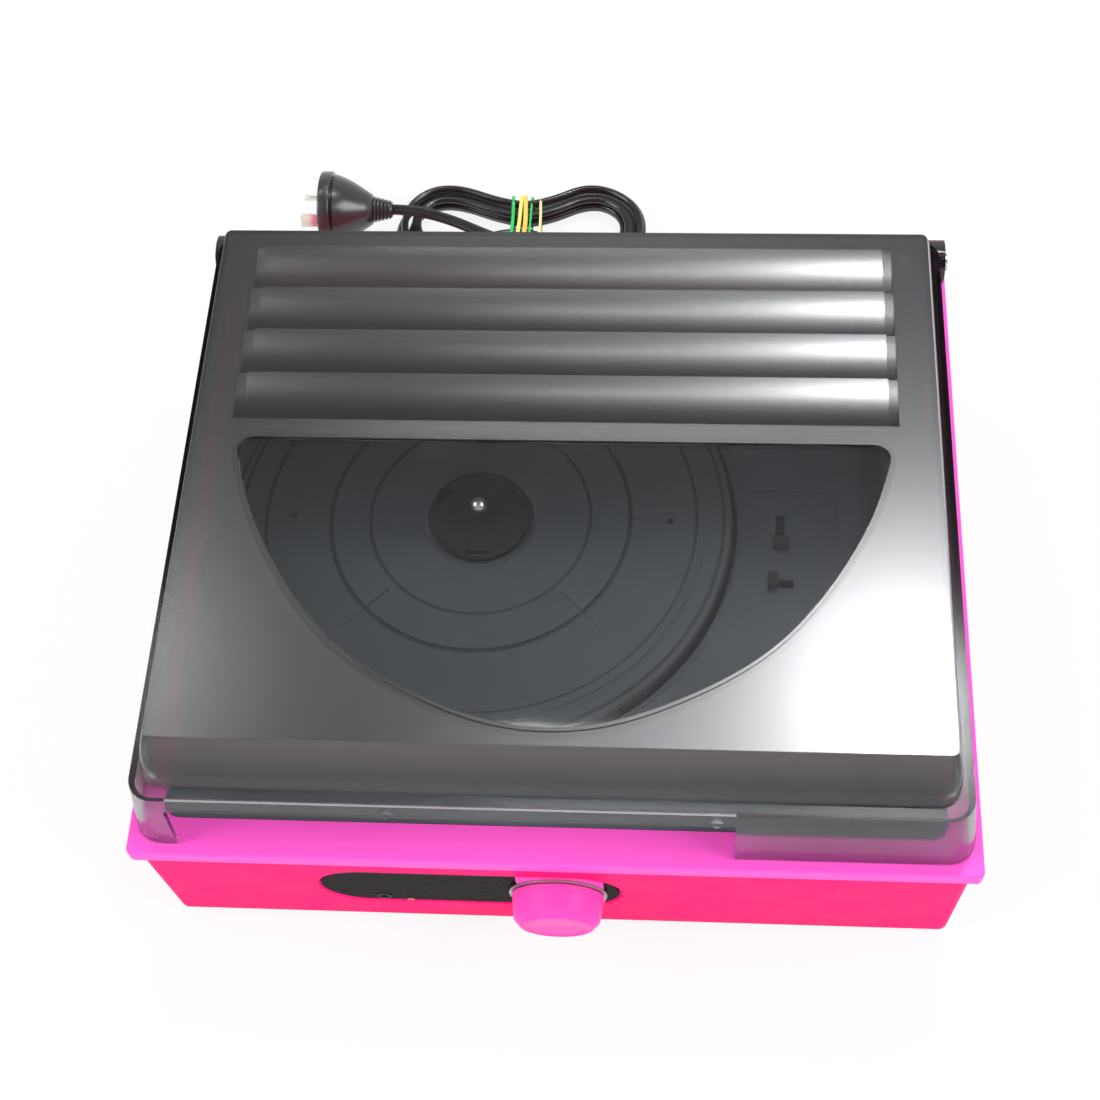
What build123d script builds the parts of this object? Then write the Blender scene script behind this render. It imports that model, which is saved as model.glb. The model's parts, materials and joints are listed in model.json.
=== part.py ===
from build123d import *
from math import cos, pi, radians, sin, tan
import os

os.makedirs("parts", exist_ok=True)

# Lidded turntable with a two-part cabinet, a hinged dust cover and a belt-driven platter.
# The frame's origin is the bottom centre of the whole object, X to the right seen from the front,
# Y to the rear, Z up. Sizes are in millimetres and degrees.

# Cabinet
cabinet_width = 309.0
cabinet_depth = 271.0
foot_height = 4.5
foot_radius = 9.0
lower_height = 66.4
front_tilt = 4.2
wall = 3.0
lip_height = 6.3
lip_corner = 2.5
groove_gap = 1.3
groove_depth = 2.0
lower_corner = 4.0
lower_chamfer = 1.3
lower_inset_front = 1.3
lower_inset_side = 3.3
lower_inset_rear = 1.5
spigot_depth = 5.0
deck_thickness = 5.0
fit_gap = 0.3
shaft_gap = 0.05

# Motor board and platter
board_thickness = 2.5
board_corner = 6.0
board_margin_side = 12.2
board_margin_front = 14.9
board_margin_rear = 15.1
board_seat = 5.0
platter_radius = 98.5
platter_rise = 6.0
platter_sheet = 2.2
platter_rim_height = 11.0
platter_gap = 2.0
well_depth = 10.0
platter_side_margin = 22.7
spindle_offset_y = 10.9
spindle_radius = 3.6
spindle_height = 12.0
adapter_radius = 19.0
adapter_recess_radius = 20.9
adapter_thickness = 3.0
label_radius = 39.5
drum_radius = 62.0
pulley_radius = 5.0
motor_distance = 74.3
motor_radius = 17.5
motor_height = 23.0
bush_radius = 6.0

# Dust cover
cover_sheet = 2.2
skirt_width = cabinet_width - 5.0
skirt_front_margin = 4.2
skirt_rear_margin = 9.5
skirt_height = 33.7
skirt_draft_side = 4.8
skirt_draft_front = 2.6
skirt_draft_rear = 3.2
skirt_corner = 11.0
ledge_width = 4.8
ledge_corner = 9.0
crown_height = 17.0
crown_draft_side = 2.35
crown_draft_front = 12.3
crown_draft_rear = 6.1
crown_corner_low = 8.0
crown_corner_top = 2.5
notch_left = 16.5 - skirt_width / 2
notch_right = skirt_width / 2 - 86.0
notch_strip = 8.5
slat_count = 4
slat_pitch = 20.5
slat_rear_y = 108.5
slat_half_length = skirt_width / 2 - 30.0
slat_rise = 1.5
slat_fall = 2.5
slat_bow = 1.1
slat_cap = 3.5
slat_cap_drop = 1.0
slat_heel = 1.6
window_half = skirt_width / 2 - 28.6
window_rear_y = 17.9
window_front_y = -99.2
window_corner = 6.0
window_flange = 3.5
window_flange_sheet = 1.2
window_bead = 1.6
window_bead_height = 0.5
hinge_back = 0.3
hinge_height = 16.5
hinge_boss_radius = 9.0
hinge_boss_proud = 1.6
hinge_pin_radius = 2.0
hinge_post_radius = 6.5
hinge_post_width = 7.0

# Front panel and knob
panel_left = -88.2
panel_right = 24.6
panel_height = 35.6
panel_centre_z = 41.5
panel_recess = 1.6
panel_sheet = 1.2
panel_rim = 1.2
knob_x = 1.6
knob_base_radius = 17.35
knob_front_radius = 16.2
knob_face_radius = 13.3
knob_back_gap = 0.3
knob_body_length = 9.7
knob_chamfer_length = 2.5
knob_ring_radius = 18.5
knob_ring_sheet = 0.8
collar_width = 32.3
collar_shift = 1.1
collar_proud = 0.4
shaft_radius = 3.0

# Tonearm
pivot_from_side = 36.5
pivot_from_spindle_y = 73.1
arm_length = 184.0
arm_axis_height = 16.5
arm_base_radius = 13.5
arm_base_height = 7.5

# Mains lead
cord_diameter = 5.0
cord_lift = 1.4
hank_x = -34.5
hank_y = 221.2
hank_reach = 34.4
hank_inner_radius = 15.6
hank_step = 5.7
hank_layer_step = 5.6
hank_left_angle = 22.4
hank_right_angle = 28.2
hank_bend_share = 0.97
hank_waist_bend = 32.0
hank_waist_half = 8.0
waist_x = -31.0
band_width = 2.2
band_sheet = 1.1
band_gap = 0.3
plug_radius = 18.0
plug_reach = 60.9
plug_neck = 15.6
plug_depth = 18.0
plug_rim = 6.0
blade_length = 10.0

# Levels and outlines worked out from the sizes above
lower_bottom = foot_height
lower_top = lower_bottom + lower_height
lip_bottom = lower_top + groove_gap
deck_top = lip_bottom + lip_height
half_width = cabinet_width / 2
tilt = radians(front_tilt)
knob_total_length = knob_back_gap + knob_ring_sheet + collar_proud + knob_body_length + knob_chamfer_length
face_at_knob = lower_inset_front + (lower_top - panel_centre_z) * tan(tilt)
knob_reach = knob_total_length * cos(tilt) + knob_face_radius * sin(tilt) - face_at_knob
deck_front = -(cabinet_depth - knob_reach) / 2
deck_rear = deck_front + cabinet_depth
lower_half = half_width - lower_inset_side
lower_front = deck_front + lower_inset_front
lower_rear = deck_rear - lower_inset_rear
tilt_run = lower_height * tan(tilt)
platter_top = deck_top + platter_rise
well_floor = deck_top - well_depth
well_radius = platter_radius + platter_gap
board_half = half_width - board_margin_side
board_front = deck_front + board_margin_front
board_rear = deck_rear - board_margin_rear
spindle_x = platter_side_margin + platter_radius - half_width
spindle_y = spindle_offset_y
motor_x = spindle_x - motor_distance
motor_y = spindle_y

front_face = Plane(
    origin=(knob_x, deck_front + face_at_knob, panel_centre_z),
    x_dir=(1, 0, 0),
    z_dir=(0, -cos(tilt), -sin(tilt)),
)

BOTTOM = (Align.CENTER, Align.CENTER, Align.MIN)
TOP = (Align.CENTER, Align.CENTER, Align.MAX)


def save(builder, name):
    """Label a finished piece and write its STEP file."""
    builder.part.label = name
    export_step(builder.part, "parts/" + name + ".step")


def frame_sketch(height, half, front, rear, corner):
    """A rounded rectangle at a height, from its half width and its front and rear edges."""
    with BuildSketch(Plane.XY.offset(height)) as outline:
        with Locations((0, (front + rear) / 2)):
            RectangleRounded(2 * half, rear - front, corner)
    return outline.sketch


def side_profile(front_top, front_bottom, rear, low, high):
    """Side view of a box whose front leans back towards the bottom."""
    with BuildSketch(Plane.YZ) as outline:
        Polygon((front_bottom, low), (rear, low), (rear, high), (front_top, high), align=None)
    return outline.sketch


# Positions shared by several pieces
case_screw_spots = [
    (-lower_half + 12.2, lower_front + 15.0),
    (lower_half - 12.2, lower_front + 15.0),
    (-lower_half + 12.2, lower_rear - 10.5),
    (lower_half - 12.2, lower_rear - 10.5),
    (-10.0, lower_rear - 10.5),
    (92.0, lower_rear - 10.5),
]
foot_x = lower_half - 29.2
foot_front = lower_front + 34.6
foot_rear = lower_rear - 31.6
foot_spots = [(-foot_x, foot_front), (foot_x, foot_front), (-foot_x, foot_rear), (foot_x, foot_rear)]
tower_top = lower_bottom + 33.0
tower_radius = 5.0
screw_head_radius = 2.8
screw_head_height = 2.2
screw_shank_radius = 1.4
tower_web = 3.0
speaker_y = lower_rear - 64.6
speaker_z = lower_bottom + lower_height / 2 - 0.7
speaker_flange = lower_height - 10.4
speaker_radius = speaker_flange / 2 - 4.0
slot_count = 7
slot_pitch = 6.0
slot_width = 3.0
slot_length = speaker_flange - 16.0
jack_x = -60.0
jack_z = 40.0
jack_window_width = 40.0
jack_window_height = 18.0
jack_spacing = 18.0
jack_radius = 4.2
relief_x = 60.0
relief_z = 22.0
relief_hole_radius = 5.0
bushing_radius = 3.6
lamp_x = -56.0
lamp_z = 24.5
phones_x = -66.0
phones_z = 28.0
lamp_radius = 1.5
phones_radius = 3.0
standoff_height = 6.0
amp_x = -5.0
amp_y = lower_front + 46.6
amp_width = 112.0
amp_depth = 50.0
amp_hole_x = amp_width / 2 - 6.0
amp_hole_y = amp_depth / 2 - 7.0
amp_spots = [
    (amp_x + side * amp_hole_x, amp_y + end * amp_hole_y) for side in (-1, 1) for end in (-1, 1)
]

board_screw_inset = 2.6
board_screw_radius = 1.1
board_screw_spots = [
    (-board_half + board_screw_inset, board_front + 30.0),
    (board_half - board_screw_inset, board_front + 30.0),
    (-board_half + board_screw_inset, board_rear - 40.0),
    (board_half - board_screw_inset, board_rear - 40.0),
    (-60.0, board_front + board_screw_inset),
    (60.0, board_front + board_screw_inset),
]

# Lower cabinet: an open tub with a leaning front
with BuildPart() as tub_hollow:
    hollow_view = side_profile(
        lower_front + wall,
        lower_front + wall + (lower_height - wall) * tan(tilt),
        lower_rear - wall,
        lower_bottom + wall,
        lower_top,
    )
    extrude(hollow_view, amount=lower_half - wall, both=True)

with BuildPart() as lower_cabinet:
    outside_view = side_profile(
        lower_front, lower_front + tilt_run, lower_rear, lower_bottom, lower_top
    )
    extrude(outside_view, amount=lower_half, both=True)
    uprights = lower_cabinet.edges().filter_by(lambda e: abs((e @ 1).Z - (e @ 0).Z) > lower_height / 2)
    fillet(uprights, lower_corner)
    rim = lower_cabinet.faces().sort_by(Axis.Z)[-1].edges()
    chamfer(rim, lower_chamfer)
    add(tub_hollow.part, mode=Mode.SUBTRACT)
    with BuildSketch(Plane.XY.offset(lower_bottom)):
        with Locations(*case_screw_spots):
            Circle(tower_radius)
    extrude(amount=tower_top - lower_bottom)
    with Locations(*[(x, y, tower_top) for x, y in case_screw_spots]):
        Cylinder(screw_shank_radius + 0.2, 2 * tower_top, mode=Mode.SUBTRACT)
    with Locations(*[(x, y, lower_bottom) for x, y in case_screw_spots]):
        Cylinder(
            screw_head_radius + 0.4,
            tower_top - tower_web - lower_bottom,
            align=BOTTOM,
            mode=Mode.SUBTRACT,
        )
    with Locations(*[(x, y, lower_bottom + wall) for x, y in amp_spots]):
        Cylinder(3.0, standoff_height, align=BOTTOM)
    # Panel recess, with a bevelled rim
    panel_centre_x = (panel_left + panel_right) / 2 - knob_x
    panel_width = panel_right - panel_left
    with BuildSketch(front_face):
        with Locations((panel_centre_x, 0)):
            SlotOverall(panel_width + 2 * panel_rim, panel_height + 2 * panel_rim)
    with BuildSketch(front_face.offset(-panel_rim)):
        with Locations((panel_centre_x, 0)):
            SlotOverall(panel_width, panel_height)
    loft(mode=Mode.SUBTRACT)
    with BuildSketch(front_face.offset(-panel_recess)):
        with Locations((panel_centre_x, 0)):
            SlotOverall(panel_width, panel_height)
    extrude(amount=panel_recess, mode=Mode.SUBTRACT)
    # Holes through the front wall for the potentiometer, the lamp and the headphone jack
    with BuildSketch(front_face):
        Circle(bushing_radius)
        with Locations((lamp_x - knob_x, lamp_z - panel_centre_z)):
            Circle(lamp_radius + 0.1)
        with Locations((phones_x - knob_x, phones_z - panel_centre_z)):
            Circle(phones_radius + 0.1)
    extrude(amount=-3 * wall, mode=Mode.SUBTRACT)
    # Sound slots in both sides
    with BuildSketch(Plane.YZ):
        with Locations((speaker_y, speaker_z)):
            with GridLocations(slot_pitch, 0, slot_count, 1):
                SlotOverall(slot_length, slot_width, rotation=90)
    extrude(amount=half_width, both=True, mode=Mode.SUBTRACT)
    # Rear window for the jacks and the hole for the strain relief
    with BuildSketch(Plane.XZ.offset(-lower_rear)):
        with Locations((jack_x, jack_z)):
            RectangleRounded(jack_window_width, jack_window_height, 2.0)
        with Locations((relief_x, relief_z)):
            Circle(relief_hole_radius)
    extrude(amount=2 * wall, mode=Mode.SUBTRACT)
save(lower_cabinet, "lower_cabinet")

# Upper cabinet: the deck frame with its overhanging lip
with BuildPart() as upper_cabinet:
    extrude(frame_sketch(lip_bottom, half_width, deck_front, deck_rear, lip_corner), amount=lip_height)
    top_edges = upper_cabinet.faces().sort_by(Axis.Z)[-1].edges()
    fillet(top_edges, 0.9)
    extrude(
        frame_sketch(
            lower_top,
            lower_half - groove_depth,
            lower_front + groove_depth,
            lower_rear - groove_depth,
            lower_corner - 1.5,
        ),
        amount=groove_gap,
    )
    spigot_front = lower_front + wall + spigot_depth * tan(tilt) + fit_gap
    extrude(
        frame_sketch(
            lower_top - spigot_depth,
            lower_half - wall - fit_gap,
            spigot_front,
            lower_rear - wall - fit_gap,
            1.5,
        ),
        amount=spigot_depth,
    )
    # Hollow under the deck, then the board's opening and its seat
    extrude(
        frame_sketch(
            lower_top - spigot_depth,
            lower_half - 2 * wall,
            spigot_front + wall,
            lower_rear - 2 * wall,
            1.0,
        ),
        amount=deck_top - deck_thickness - (lower_top - spigot_depth),
        mode=Mode.SUBTRACT,
    )
    extrude(
        frame_sketch(
            deck_top - deck_thickness,
            board_half - board_seat,
            board_front + board_seat,
            board_rear - board_seat,
            board_corner,
        ),
        amount=deck_thickness,
        mode=Mode.SUBTRACT,
    )
    extrude(
        frame_sketch(
            deck_top - board_thickness,
            board_half + fit_gap,
            board_front - fit_gap,
            board_rear + fit_gap,
            board_corner + fit_gap,
        ),
        amount=board_thickness,
        mode=Mode.SUBTRACT,
    )
    with BuildSketch(Plane.XY.offset(tower_top)):
        with Locations(*case_screw_spots):
            Circle(4.0)
            Circle(screw_shank_radius + shaft_gap, mode=Mode.SUBTRACT)
    extrude(amount=deck_top - deck_thickness - tower_top)
    with Locations(*[(x, y, deck_top) for x, y in board_screw_spots]):
        Cylinder(board_screw_radius + shaft_gap, 3 * deck_thickness, mode=Mode.SUBTRACT)
save(upper_cabinet, "upper_cabinet")

with BuildPart() as feet:
    with BuildSketch():
        with Locations(*foot_spots):
            Circle(foot_radius)
    extrude(amount=foot_height)
    chamfer(feet.edges().group_by(Axis.Z)[0], 0.8)
save(feet, "feet")

with BuildPart() as case_screws:
    head_top = tower_top - tower_web
    with Locations(*[(x, y, head_top) for x, y in case_screw_spots]):
        Cylinder(screw_head_radius, screw_head_height, align=TOP)
        Cylinder(screw_shank_radius, tower_web + 12.0, align=BOTTOM)
save(case_screws, "case_screws")

# Motor board: the black deck plate with the platter's well
pivot_x = half_width - pivot_from_side
pivot_y = spindle_y + pivot_from_spindle_y
control_left = spindle_x + well_radius + 3.8
control_right = control_left + 36.0
control_front = spindle_y - 33.4
control_rear = control_front + 50.8
control_depth = 1.2
speed_x = control_left + 13.0
speed_y = control_front + 32.5
speed_travel = 12.0
stop_x = control_left + 13.0
stop_y = control_front + 9.5
stop_travel = 6.0
slider_width = 6.0
slider_stem = 3.0
rest_x = pivot_x
rest_y = pivot_y - 114.0
rest_stem_radius = 3.0
grommet_spots = [
    (motor_x + 24.0 * cos(radians(a)), motor_y + 24.0 * sin(radians(a))) for a in (80, 200, 320)
]
cue_x = pivot_x + 14.0
cue_y = pivot_y - 26.0
cue_arc_radius = 28.0
cue_stem_angle = 232.0
cue_stem_x = pivot_x + cue_arc_radius * cos(radians(cue_stem_angle))
cue_stem_y = pivot_y + cue_arc_radius * sin(radians(cue_stem_angle))

with BuildPart() as motor_board:
    extrude(
        frame_sketch(deck_top - board_thickness, board_half, board_front, board_rear, board_corner),
        amount=board_thickness,
    )
    with Locations((spindle_x, spindle_y, well_floor - board_thickness)):
        Cylinder(well_radius + board_thickness, well_depth, align=BOTTOM)
    with Locations((spindle_x, spindle_y, deck_top)):
        Cylinder(well_radius + 1.6, 0.5, align=BOTTOM)
    with Locations((spindle_x, spindle_y, well_floor)):
        Cylinder(well_radius, well_depth + 1.0, align=BOTTOM, mode=Mode.SUBTRACT)
    with Locations((spindle_x, spindle_y, well_floor)):
        Cylinder(bush_radius + shaft_gap, 2 * board_thickness, mode=Mode.SUBTRACT)
    with Locations((motor_x, motor_y, well_floor)):
        Cylinder(pulley_radius + 1.5, 2 * board_thickness, mode=Mode.SUBTRACT)
    with Locations(*[(x, y, well_floor) for x, y in grommet_spots]):
        Cylinder(1.6, 2 * board_thickness, mode=Mode.SUBTRACT)
    with Locations((pivot_x, pivot_y, deck_top)):
        Cylinder(9.0, 2 * board_thickness, mode=Mode.SUBTRACT)
    with Locations((rest_x, rest_y, deck_top)):
        Cylinder(rest_stem_radius, 2 * board_thickness, mode=Mode.SUBTRACT)
    with Locations(*[(x, y, deck_top) for x, y in board_screw_spots]):
        Cylinder(board_screw_radius + 0.2, 2 * board_thickness, mode=Mode.SUBTRACT)
    with BuildSketch(Plane.XY.offset(deck_top - control_depth)):
        with Locations(((control_left + control_right) / 2, (control_front + control_rear) / 2)):
            RectangleRounded(control_right - control_left, control_rear - control_front, 2.0)
    extrude(amount=control_depth, mode=Mode.SUBTRACT)
    with BuildSketch(Plane.XY.offset(deck_top)):
        with Locations((speed_x, speed_y)):
            Rectangle(slider_stem + 0.6, slider_stem + 0.6 + speed_travel)
        with Locations((stop_x, stop_y)):
            Rectangle(slider_stem + 0.6 + stop_travel, slider_stem + 0.6)
    extrude(amount=-2 * board_thickness, mode=Mode.SUBTRACT)
save(motor_board, "motor_board")

with BuildPart() as board_screws:
    with Locations(*[(x, y, deck_top) for x, y in board_screw_spots]):
        Cylinder(2 * board_screw_radius, 1.3, align=BOTTOM)
        Cylinder(board_screw_radius, deck_thickness - 0.6, align=TOP)
save(board_screws, "board_screws")

# Platter, turned about the spindle
platter_underside = platter_top - adapter_thickness - platter_sheet
spindle_plane = Plane(origin=(spindle_x, spindle_y, 0), x_dir=(1, 0, 0), z_dir=(0, -1, 0))
spindle_axis = Axis((spindle_x, spindle_y, 0), (0, 0, 1))
label_drop = 1.2
ring_drop = 0.4
groove_radius = 58.9
single_ring_inner = 84.7
single_ring_outer = 88.5
edge_ring = 95.0
hub_radius = 9.0
inner_rib_radius = 34.0
rim_sheet = 2.2

with BuildPart() as platter:
    with BuildSketch(spindle_plane):
        Polygon(
            (spindle_radius + shaft_gap, platter_underside - 7.5),
            (spindle_radius + shaft_gap, platter_top - adapter_thickness),
            (adapter_recess_radius, platter_top - adapter_thickness),
            (adapter_recess_radius, platter_top - label_drop + 0.4),
            (adapter_recess_radius + 1.2, platter_top - label_drop + 0.4),
            (adapter_recess_radius + 1.2, platter_top - label_drop),
            (label_radius, platter_top - label_drop),
            (label_radius + 2.6, platter_top),
            (groove_radius - 0.6, platter_top),
            (groove_radius - 0.6, platter_top - 0.7),
            (groove_radius + 0.6, platter_top - 0.7),
            (groove_radius + 0.6, platter_top - ring_drop),
            (single_ring_inner, platter_top - ring_drop),
            (single_ring_inner, platter_top),
            (single_ring_outer, platter_top),
            (single_ring_outer, platter_top - ring_drop),
            (edge_ring, platter_top - ring_drop),
            (edge_ring, platter_top - 2 * ring_drop),
            (platter_radius - 0.8, platter_top - 2 * ring_drop),
            (platter_radius, platter_top - 4 * ring_drop),
            (platter_radius, platter_top - platter_rim_height),
            (platter_radius - rim_sheet, platter_top - platter_rim_height),
            (platter_radius - rim_sheet, platter_underside),
            (drum_radius, platter_underside),
            (drum_radius, platter_top - platter_rim_height - 1.0),
            (drum_radius - rim_sheet, platter_top - platter_rim_height - 1.0),
            (drum_radius - rim_sheet, platter_underside),
            (inner_rib_radius + rim_sheet, platter_underside),
            (inner_rib_radius + rim_sheet, platter_top - platter_rim_height),
            (inner_rib_radius, platter_top - platter_rim_height),
            (inner_rib_radius, platter_underside),
            (hub_radius, platter_underside),
            (hub_radius, platter_underside - 7.5),
            align=None,
        )
    revolve(axis=spindle_axis, revolution_arc=360)
    with Locations(
        (spindle_x + motor_distance, spindle_y, platter_top - ring_drop),
        (spindle_x - motor_distance, spindle_y, platter_top - ring_drop),
    ):
        Cylinder(3.5, 1.0, align=TOP, mode=Mode.SUBTRACT)
        Cylinder(1.2, 20.0, mode=Mode.SUBTRACT)
    with BuildSketch(Plane.XY.offset(platter_top)):
        with Locations((spindle_x, spindle_y)):
            with PolarLocations(groove_radius + 4.0, 4):
                Rectangle(8.0, 0.8)
            with PolarLocations(groove_radius, 4, start_angle=45.0):
                Rectangle(24.0, 0.8)
    extrude(amount=-0.8, mode=Mode.SUBTRACT)
save(platter, "platter")

spindle_bottom = well_floor - 7.5
with BuildPart() as spindle:
    with Locations((spindle_x, spindle_y, spindle_bottom)):
        Cylinder(spindle_radius, platter_top + spindle_height - spindle_bottom, align=BOTTOM)
    fillet(spindle.edges().filter_by(GeomType.CIRCLE).group_by(Axis.Z)[-1], 0.8 * spindle_radius)
save(spindle, "spindle")

with BuildPart() as adapter_45:
    with Locations((spindle_x, spindle_y, platter_top - adapter_thickness + 0.1)):
        Cylinder(adapter_radius, adapter_thickness - 0.2, align=BOTTOM)
    with Locations((spindle_x, spindle_y, platter_top)):
        Cone(9.0, 13.8, 1.5, align=TOP, mode=Mode.SUBTRACT)
    with Locations((spindle_x, spindle_y, platter_top)):
        Cylinder(spindle_radius + shaft_gap, 4 * adapter_thickness, mode=Mode.SUBTRACT)
    with BuildSketch(Plane.XY.offset(platter_top)):
        with Locations((spindle_x, spindle_y)):
            with PolarLocations(adapter_radius - 2.6, 3, start_angle=30.0):
                SlotOverall(9.0, 2.0, rotation=90)
    extrude(amount=-2 * adapter_thickness, mode=Mode.SUBTRACT)
    chamfer(adapter_45.edges().filter_by(GeomType.CIRCLE).sort_by(SortBy.RADIUS)[-1], 0.4)
save(adapter_45, "adapter_45")

with BuildPart() as bearing_bush:
    with Locations((spindle_x, spindle_y, spindle_bottom - 3.0)):
        Cylinder(bush_radius, well_floor - spindle_bottom + 4.0, align=BOTTOM)
    with Locations((spindle_x, spindle_y, well_floor)):
        Cylinder(bush_radius + 2.0, 1.0, align=BOTTOM)
    with Locations((spindle_x, spindle_y, spindle_bottom - 1.0)):
        Cylinder(spindle_radius + shaft_gap, 30.0, align=BOTTOM, mode=Mode.SUBTRACT)
save(bearing_bush, "bearing_bush")

with BuildPart() as thrust_pad:
    with Locations((spindle_x, spindle_y, spindle_bottom - 1.0)):
        Cylinder(spindle_radius - shaft_gap, 1.0 - shaft_gap, align=BOTTOM)
save(thrust_pad, "thrust_pad")

# Motor under the well, its bracket on three rubber grommets, the pulley and the belt
bracket_sheet = 1.5
grommet_height = 2.5
bracket_top = well_floor - board_thickness - grommet_height
motor_top = bracket_top - bracket_sheet
motor_shaft_radius = 1.0
pulley_bottom = well_floor + 3.0
pulley_height = 7.0

with BuildPart() as motor:
    with Locations((motor_x, motor_y, motor_top)):
        Cylinder(motor_radius, motor_height, align=TOP)
        Cylinder(5.0, bracket_sheet, align=BOTTOM)
        Cylinder(motor_shaft_radius, pulley_bottom + pulley_height - motor_top - 0.5, align=BOTTOM)
    fillet(motor.edges().filter_by(GeomType.CIRCLE).group_by(Axis.Z)[0], 1.5)
    with BuildSketch(Plane.XY.offset(motor_top - motor_height)):
        with Locations((motor_x, motor_y)):
            Circle(4.0)
    extrude(amount=-1.2)
save(motor, "motor")

with BuildPart() as motor_bracket:
    with BuildSketch(Plane.XY.offset(motor_top)):
        with Locations((motor_x, motor_y)):
            Circle(motor_radius + 2.0)
        with Locations(*grommet_spots):
            Circle(6.0)
        with Locations((motor_x, motor_y)):
            Circle(5.0 + shaft_gap, mode=Mode.SUBTRACT)
        with Locations(*grommet_spots):
            Circle(1.6, mode=Mode.SUBTRACT)
    extrude(amount=bracket_sheet)
save(motor_bracket, "motor_bracket")

with BuildPart() as motor_grommets:
    with BuildSketch(Plane.XY.offset(bracket_top)):
        with Locations(*grommet_spots):
            Circle(4.2)
            Circle(1.6, mode=Mode.SUBTRACT)
    extrude(amount=grommet_height)
save(motor_grommets, "motor_grommets")

with BuildPart() as motor_screws:
    with Locations(*[(x, y, motor_top) for x, y in grommet_spots]):
        Cylinder(2.8, 1.8, align=TOP)
        Cylinder(1.5, well_floor - motor_top + 1.0, align=BOTTOM)
save(motor_screws, "motor_screws")

with BuildPart() as motor_pulley:
    with Locations((motor_x, motor_y, pulley_bottom)):
        Cylinder(pulley_radius, pulley_height - 1.0, align=BOTTOM)
        Cylinder(pulley_radius + 1.0, 1.0, align=BOTTOM)
    with Locations((motor_x, motor_y, pulley_bottom + pulley_height - 1.0)):
        Cylinder(pulley_radius + 1.0, 1.0, align=BOTTOM)
    with Locations((motor_x, motor_y, pulley_bottom)):
        Cylinder(motor_shaft_radius + 0.03, 3 * pulley_height, mode=Mode.SUBTRACT)
save(motor_pulley, "motor_pulley")

belt_gap = 0.25
belt_sheet = 0.6
belt_height = 4.0
with BuildPart() as drive_belt:
    with BuildSketch(Plane.XY.offset(pulley_bottom + 1.5)):
        with Locations((spindle_x, spindle_y)):
            Circle(drum_radius + belt_gap + belt_sheet)
        with Locations((motor_x, motor_y)):
            Circle(pulley_radius + belt_gap + belt_sheet)
        make_hull()
    extrude(amount=belt_height)
    with BuildSketch(Plane.XY.offset(pulley_bottom + 1.5)):
        with Locations((spindle_x, spindle_y)):
            Circle(drum_radius + belt_gap)
        with Locations((motor_x, motor_y)):
            Circle(pulley_radius + belt_gap)
        make_hull()
    extrude(amount=belt_height, mode=Mode.SUBTRACT)
save(drive_belt, "drive_belt")

# Sliders on the board: a cap above, a stem through the slot and a foot below
cap_height = 4.5


def slider(x, y, along_x, along_y):
    """Cap, stem and foot of a slider at its rest place."""
    floor_z = deck_top - control_depth
    with Locations((x, y, floor_z + fit_gap)):
        Box(along_x, along_y, cap_height, align=BOTTOM)
    with Locations((x, y, deck_top - board_thickness - 3.0)):
        Box(slider_stem, slider_stem, board_thickness + 4.0, align=BOTTOM)
    with Locations((x, y, deck_top - board_thickness - fit_gap)):
        Box(slider_stem + 3.0, slider_stem + 3.0, 2.0, align=TOP)


with BuildPart() as speed_slider:
    slider(speed_x, speed_y - speed_travel / 2, slider_width, 4.0)
save(speed_slider, "speed_slider")

with BuildPart() as stop_slider:
    slider(stop_x - stop_travel / 2, stop_y, 4.0, slider_width)
save(stop_slider, "stop_slider")

# Tonearm: base on the board, gimbal that swings, arm that lifts in the gimbal
arm_z = deck_top + arm_axis_height
base_top = deck_top + arm_base_height
stem_radius = 3.0
yoke_inner = 7.0
yoke_sheet = 2.5
arm_half_height = 3.6
arm_half_pivot = 4.6
arm_half_head = 3.2
head_length = 32.0
head_width = 15.0
head_angle = 14.0
head_height = 6.0
tip_y = pivot_y - arm_length
arm_back = 12.0
arm_taper_height = 0.8
head_start = tip_y + 20.0


def arm_underside(y):
    """Height of the tapering arm's underside at a place along it."""
    share = (pivot_y + arm_back - y) / (pivot_y + arm_back - head_start)
    return arm_z - arm_half_height + share * arm_taper_height


with BuildPart() as tonearm_base:
    with Locations((pivot_x, pivot_y, deck_top)):
        Cylinder(arm_base_radius, arm_base_height, align=BOTTOM)
        Cylinder(9.0 - shaft_gap, board_thickness + 4.0, align=TOP)
    fillet(tonearm_base.edges().filter_by(GeomType.CIRCLE).group_by(Axis.Z)[-1], 1.5)
    with Locations((pivot_x, pivot_y, deck_top)):
        Cylinder(stem_radius + shaft_gap, 60.0, mode=Mode.SUBTRACT)
save(tonearm_base, "tonearm_base")

with BuildPart() as tonearm_gimbal:
    with Locations((pivot_x, pivot_y, base_top + fit_gap)):
        Cylinder(11.5, 2.4, align=BOTTOM)
        Cylinder(stem_radius, arm_base_height + board_thickness, align=TOP)
    with Locations(
        (pivot_x - yoke_inner - yoke_sheet / 2, pivot_y, base_top + fit_gap + 2.4),
        (pivot_x + yoke_inner + yoke_sheet / 2, pivot_y, base_top + fit_gap + 2.4),
    ):
        Box(yoke_sheet, 9.0, arm_z + 4.0 - base_top - fit_gap - 2.4, align=BOTTOM)
    fillet(tonearm_gimbal.edges().filter_by(Axis.X).group_by(Axis.Z)[-1], 3.0)
    with Locations((pivot_x, pivot_y, arm_z)):
        Cylinder(1.0 + shaft_gap, 40.0, rotation=(0, 90, 0), mode=Mode.SUBTRACT)
save(tonearm_gimbal, "tonearm_gimbal")

with BuildPart() as arm_pin:
    with Locations((pivot_x, pivot_y, arm_z)):
        Cylinder(1.0, 2 * (yoke_inner + yoke_sheet), rotation=(0, 90, 0))
save(arm_pin, "arm_pin")

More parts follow.
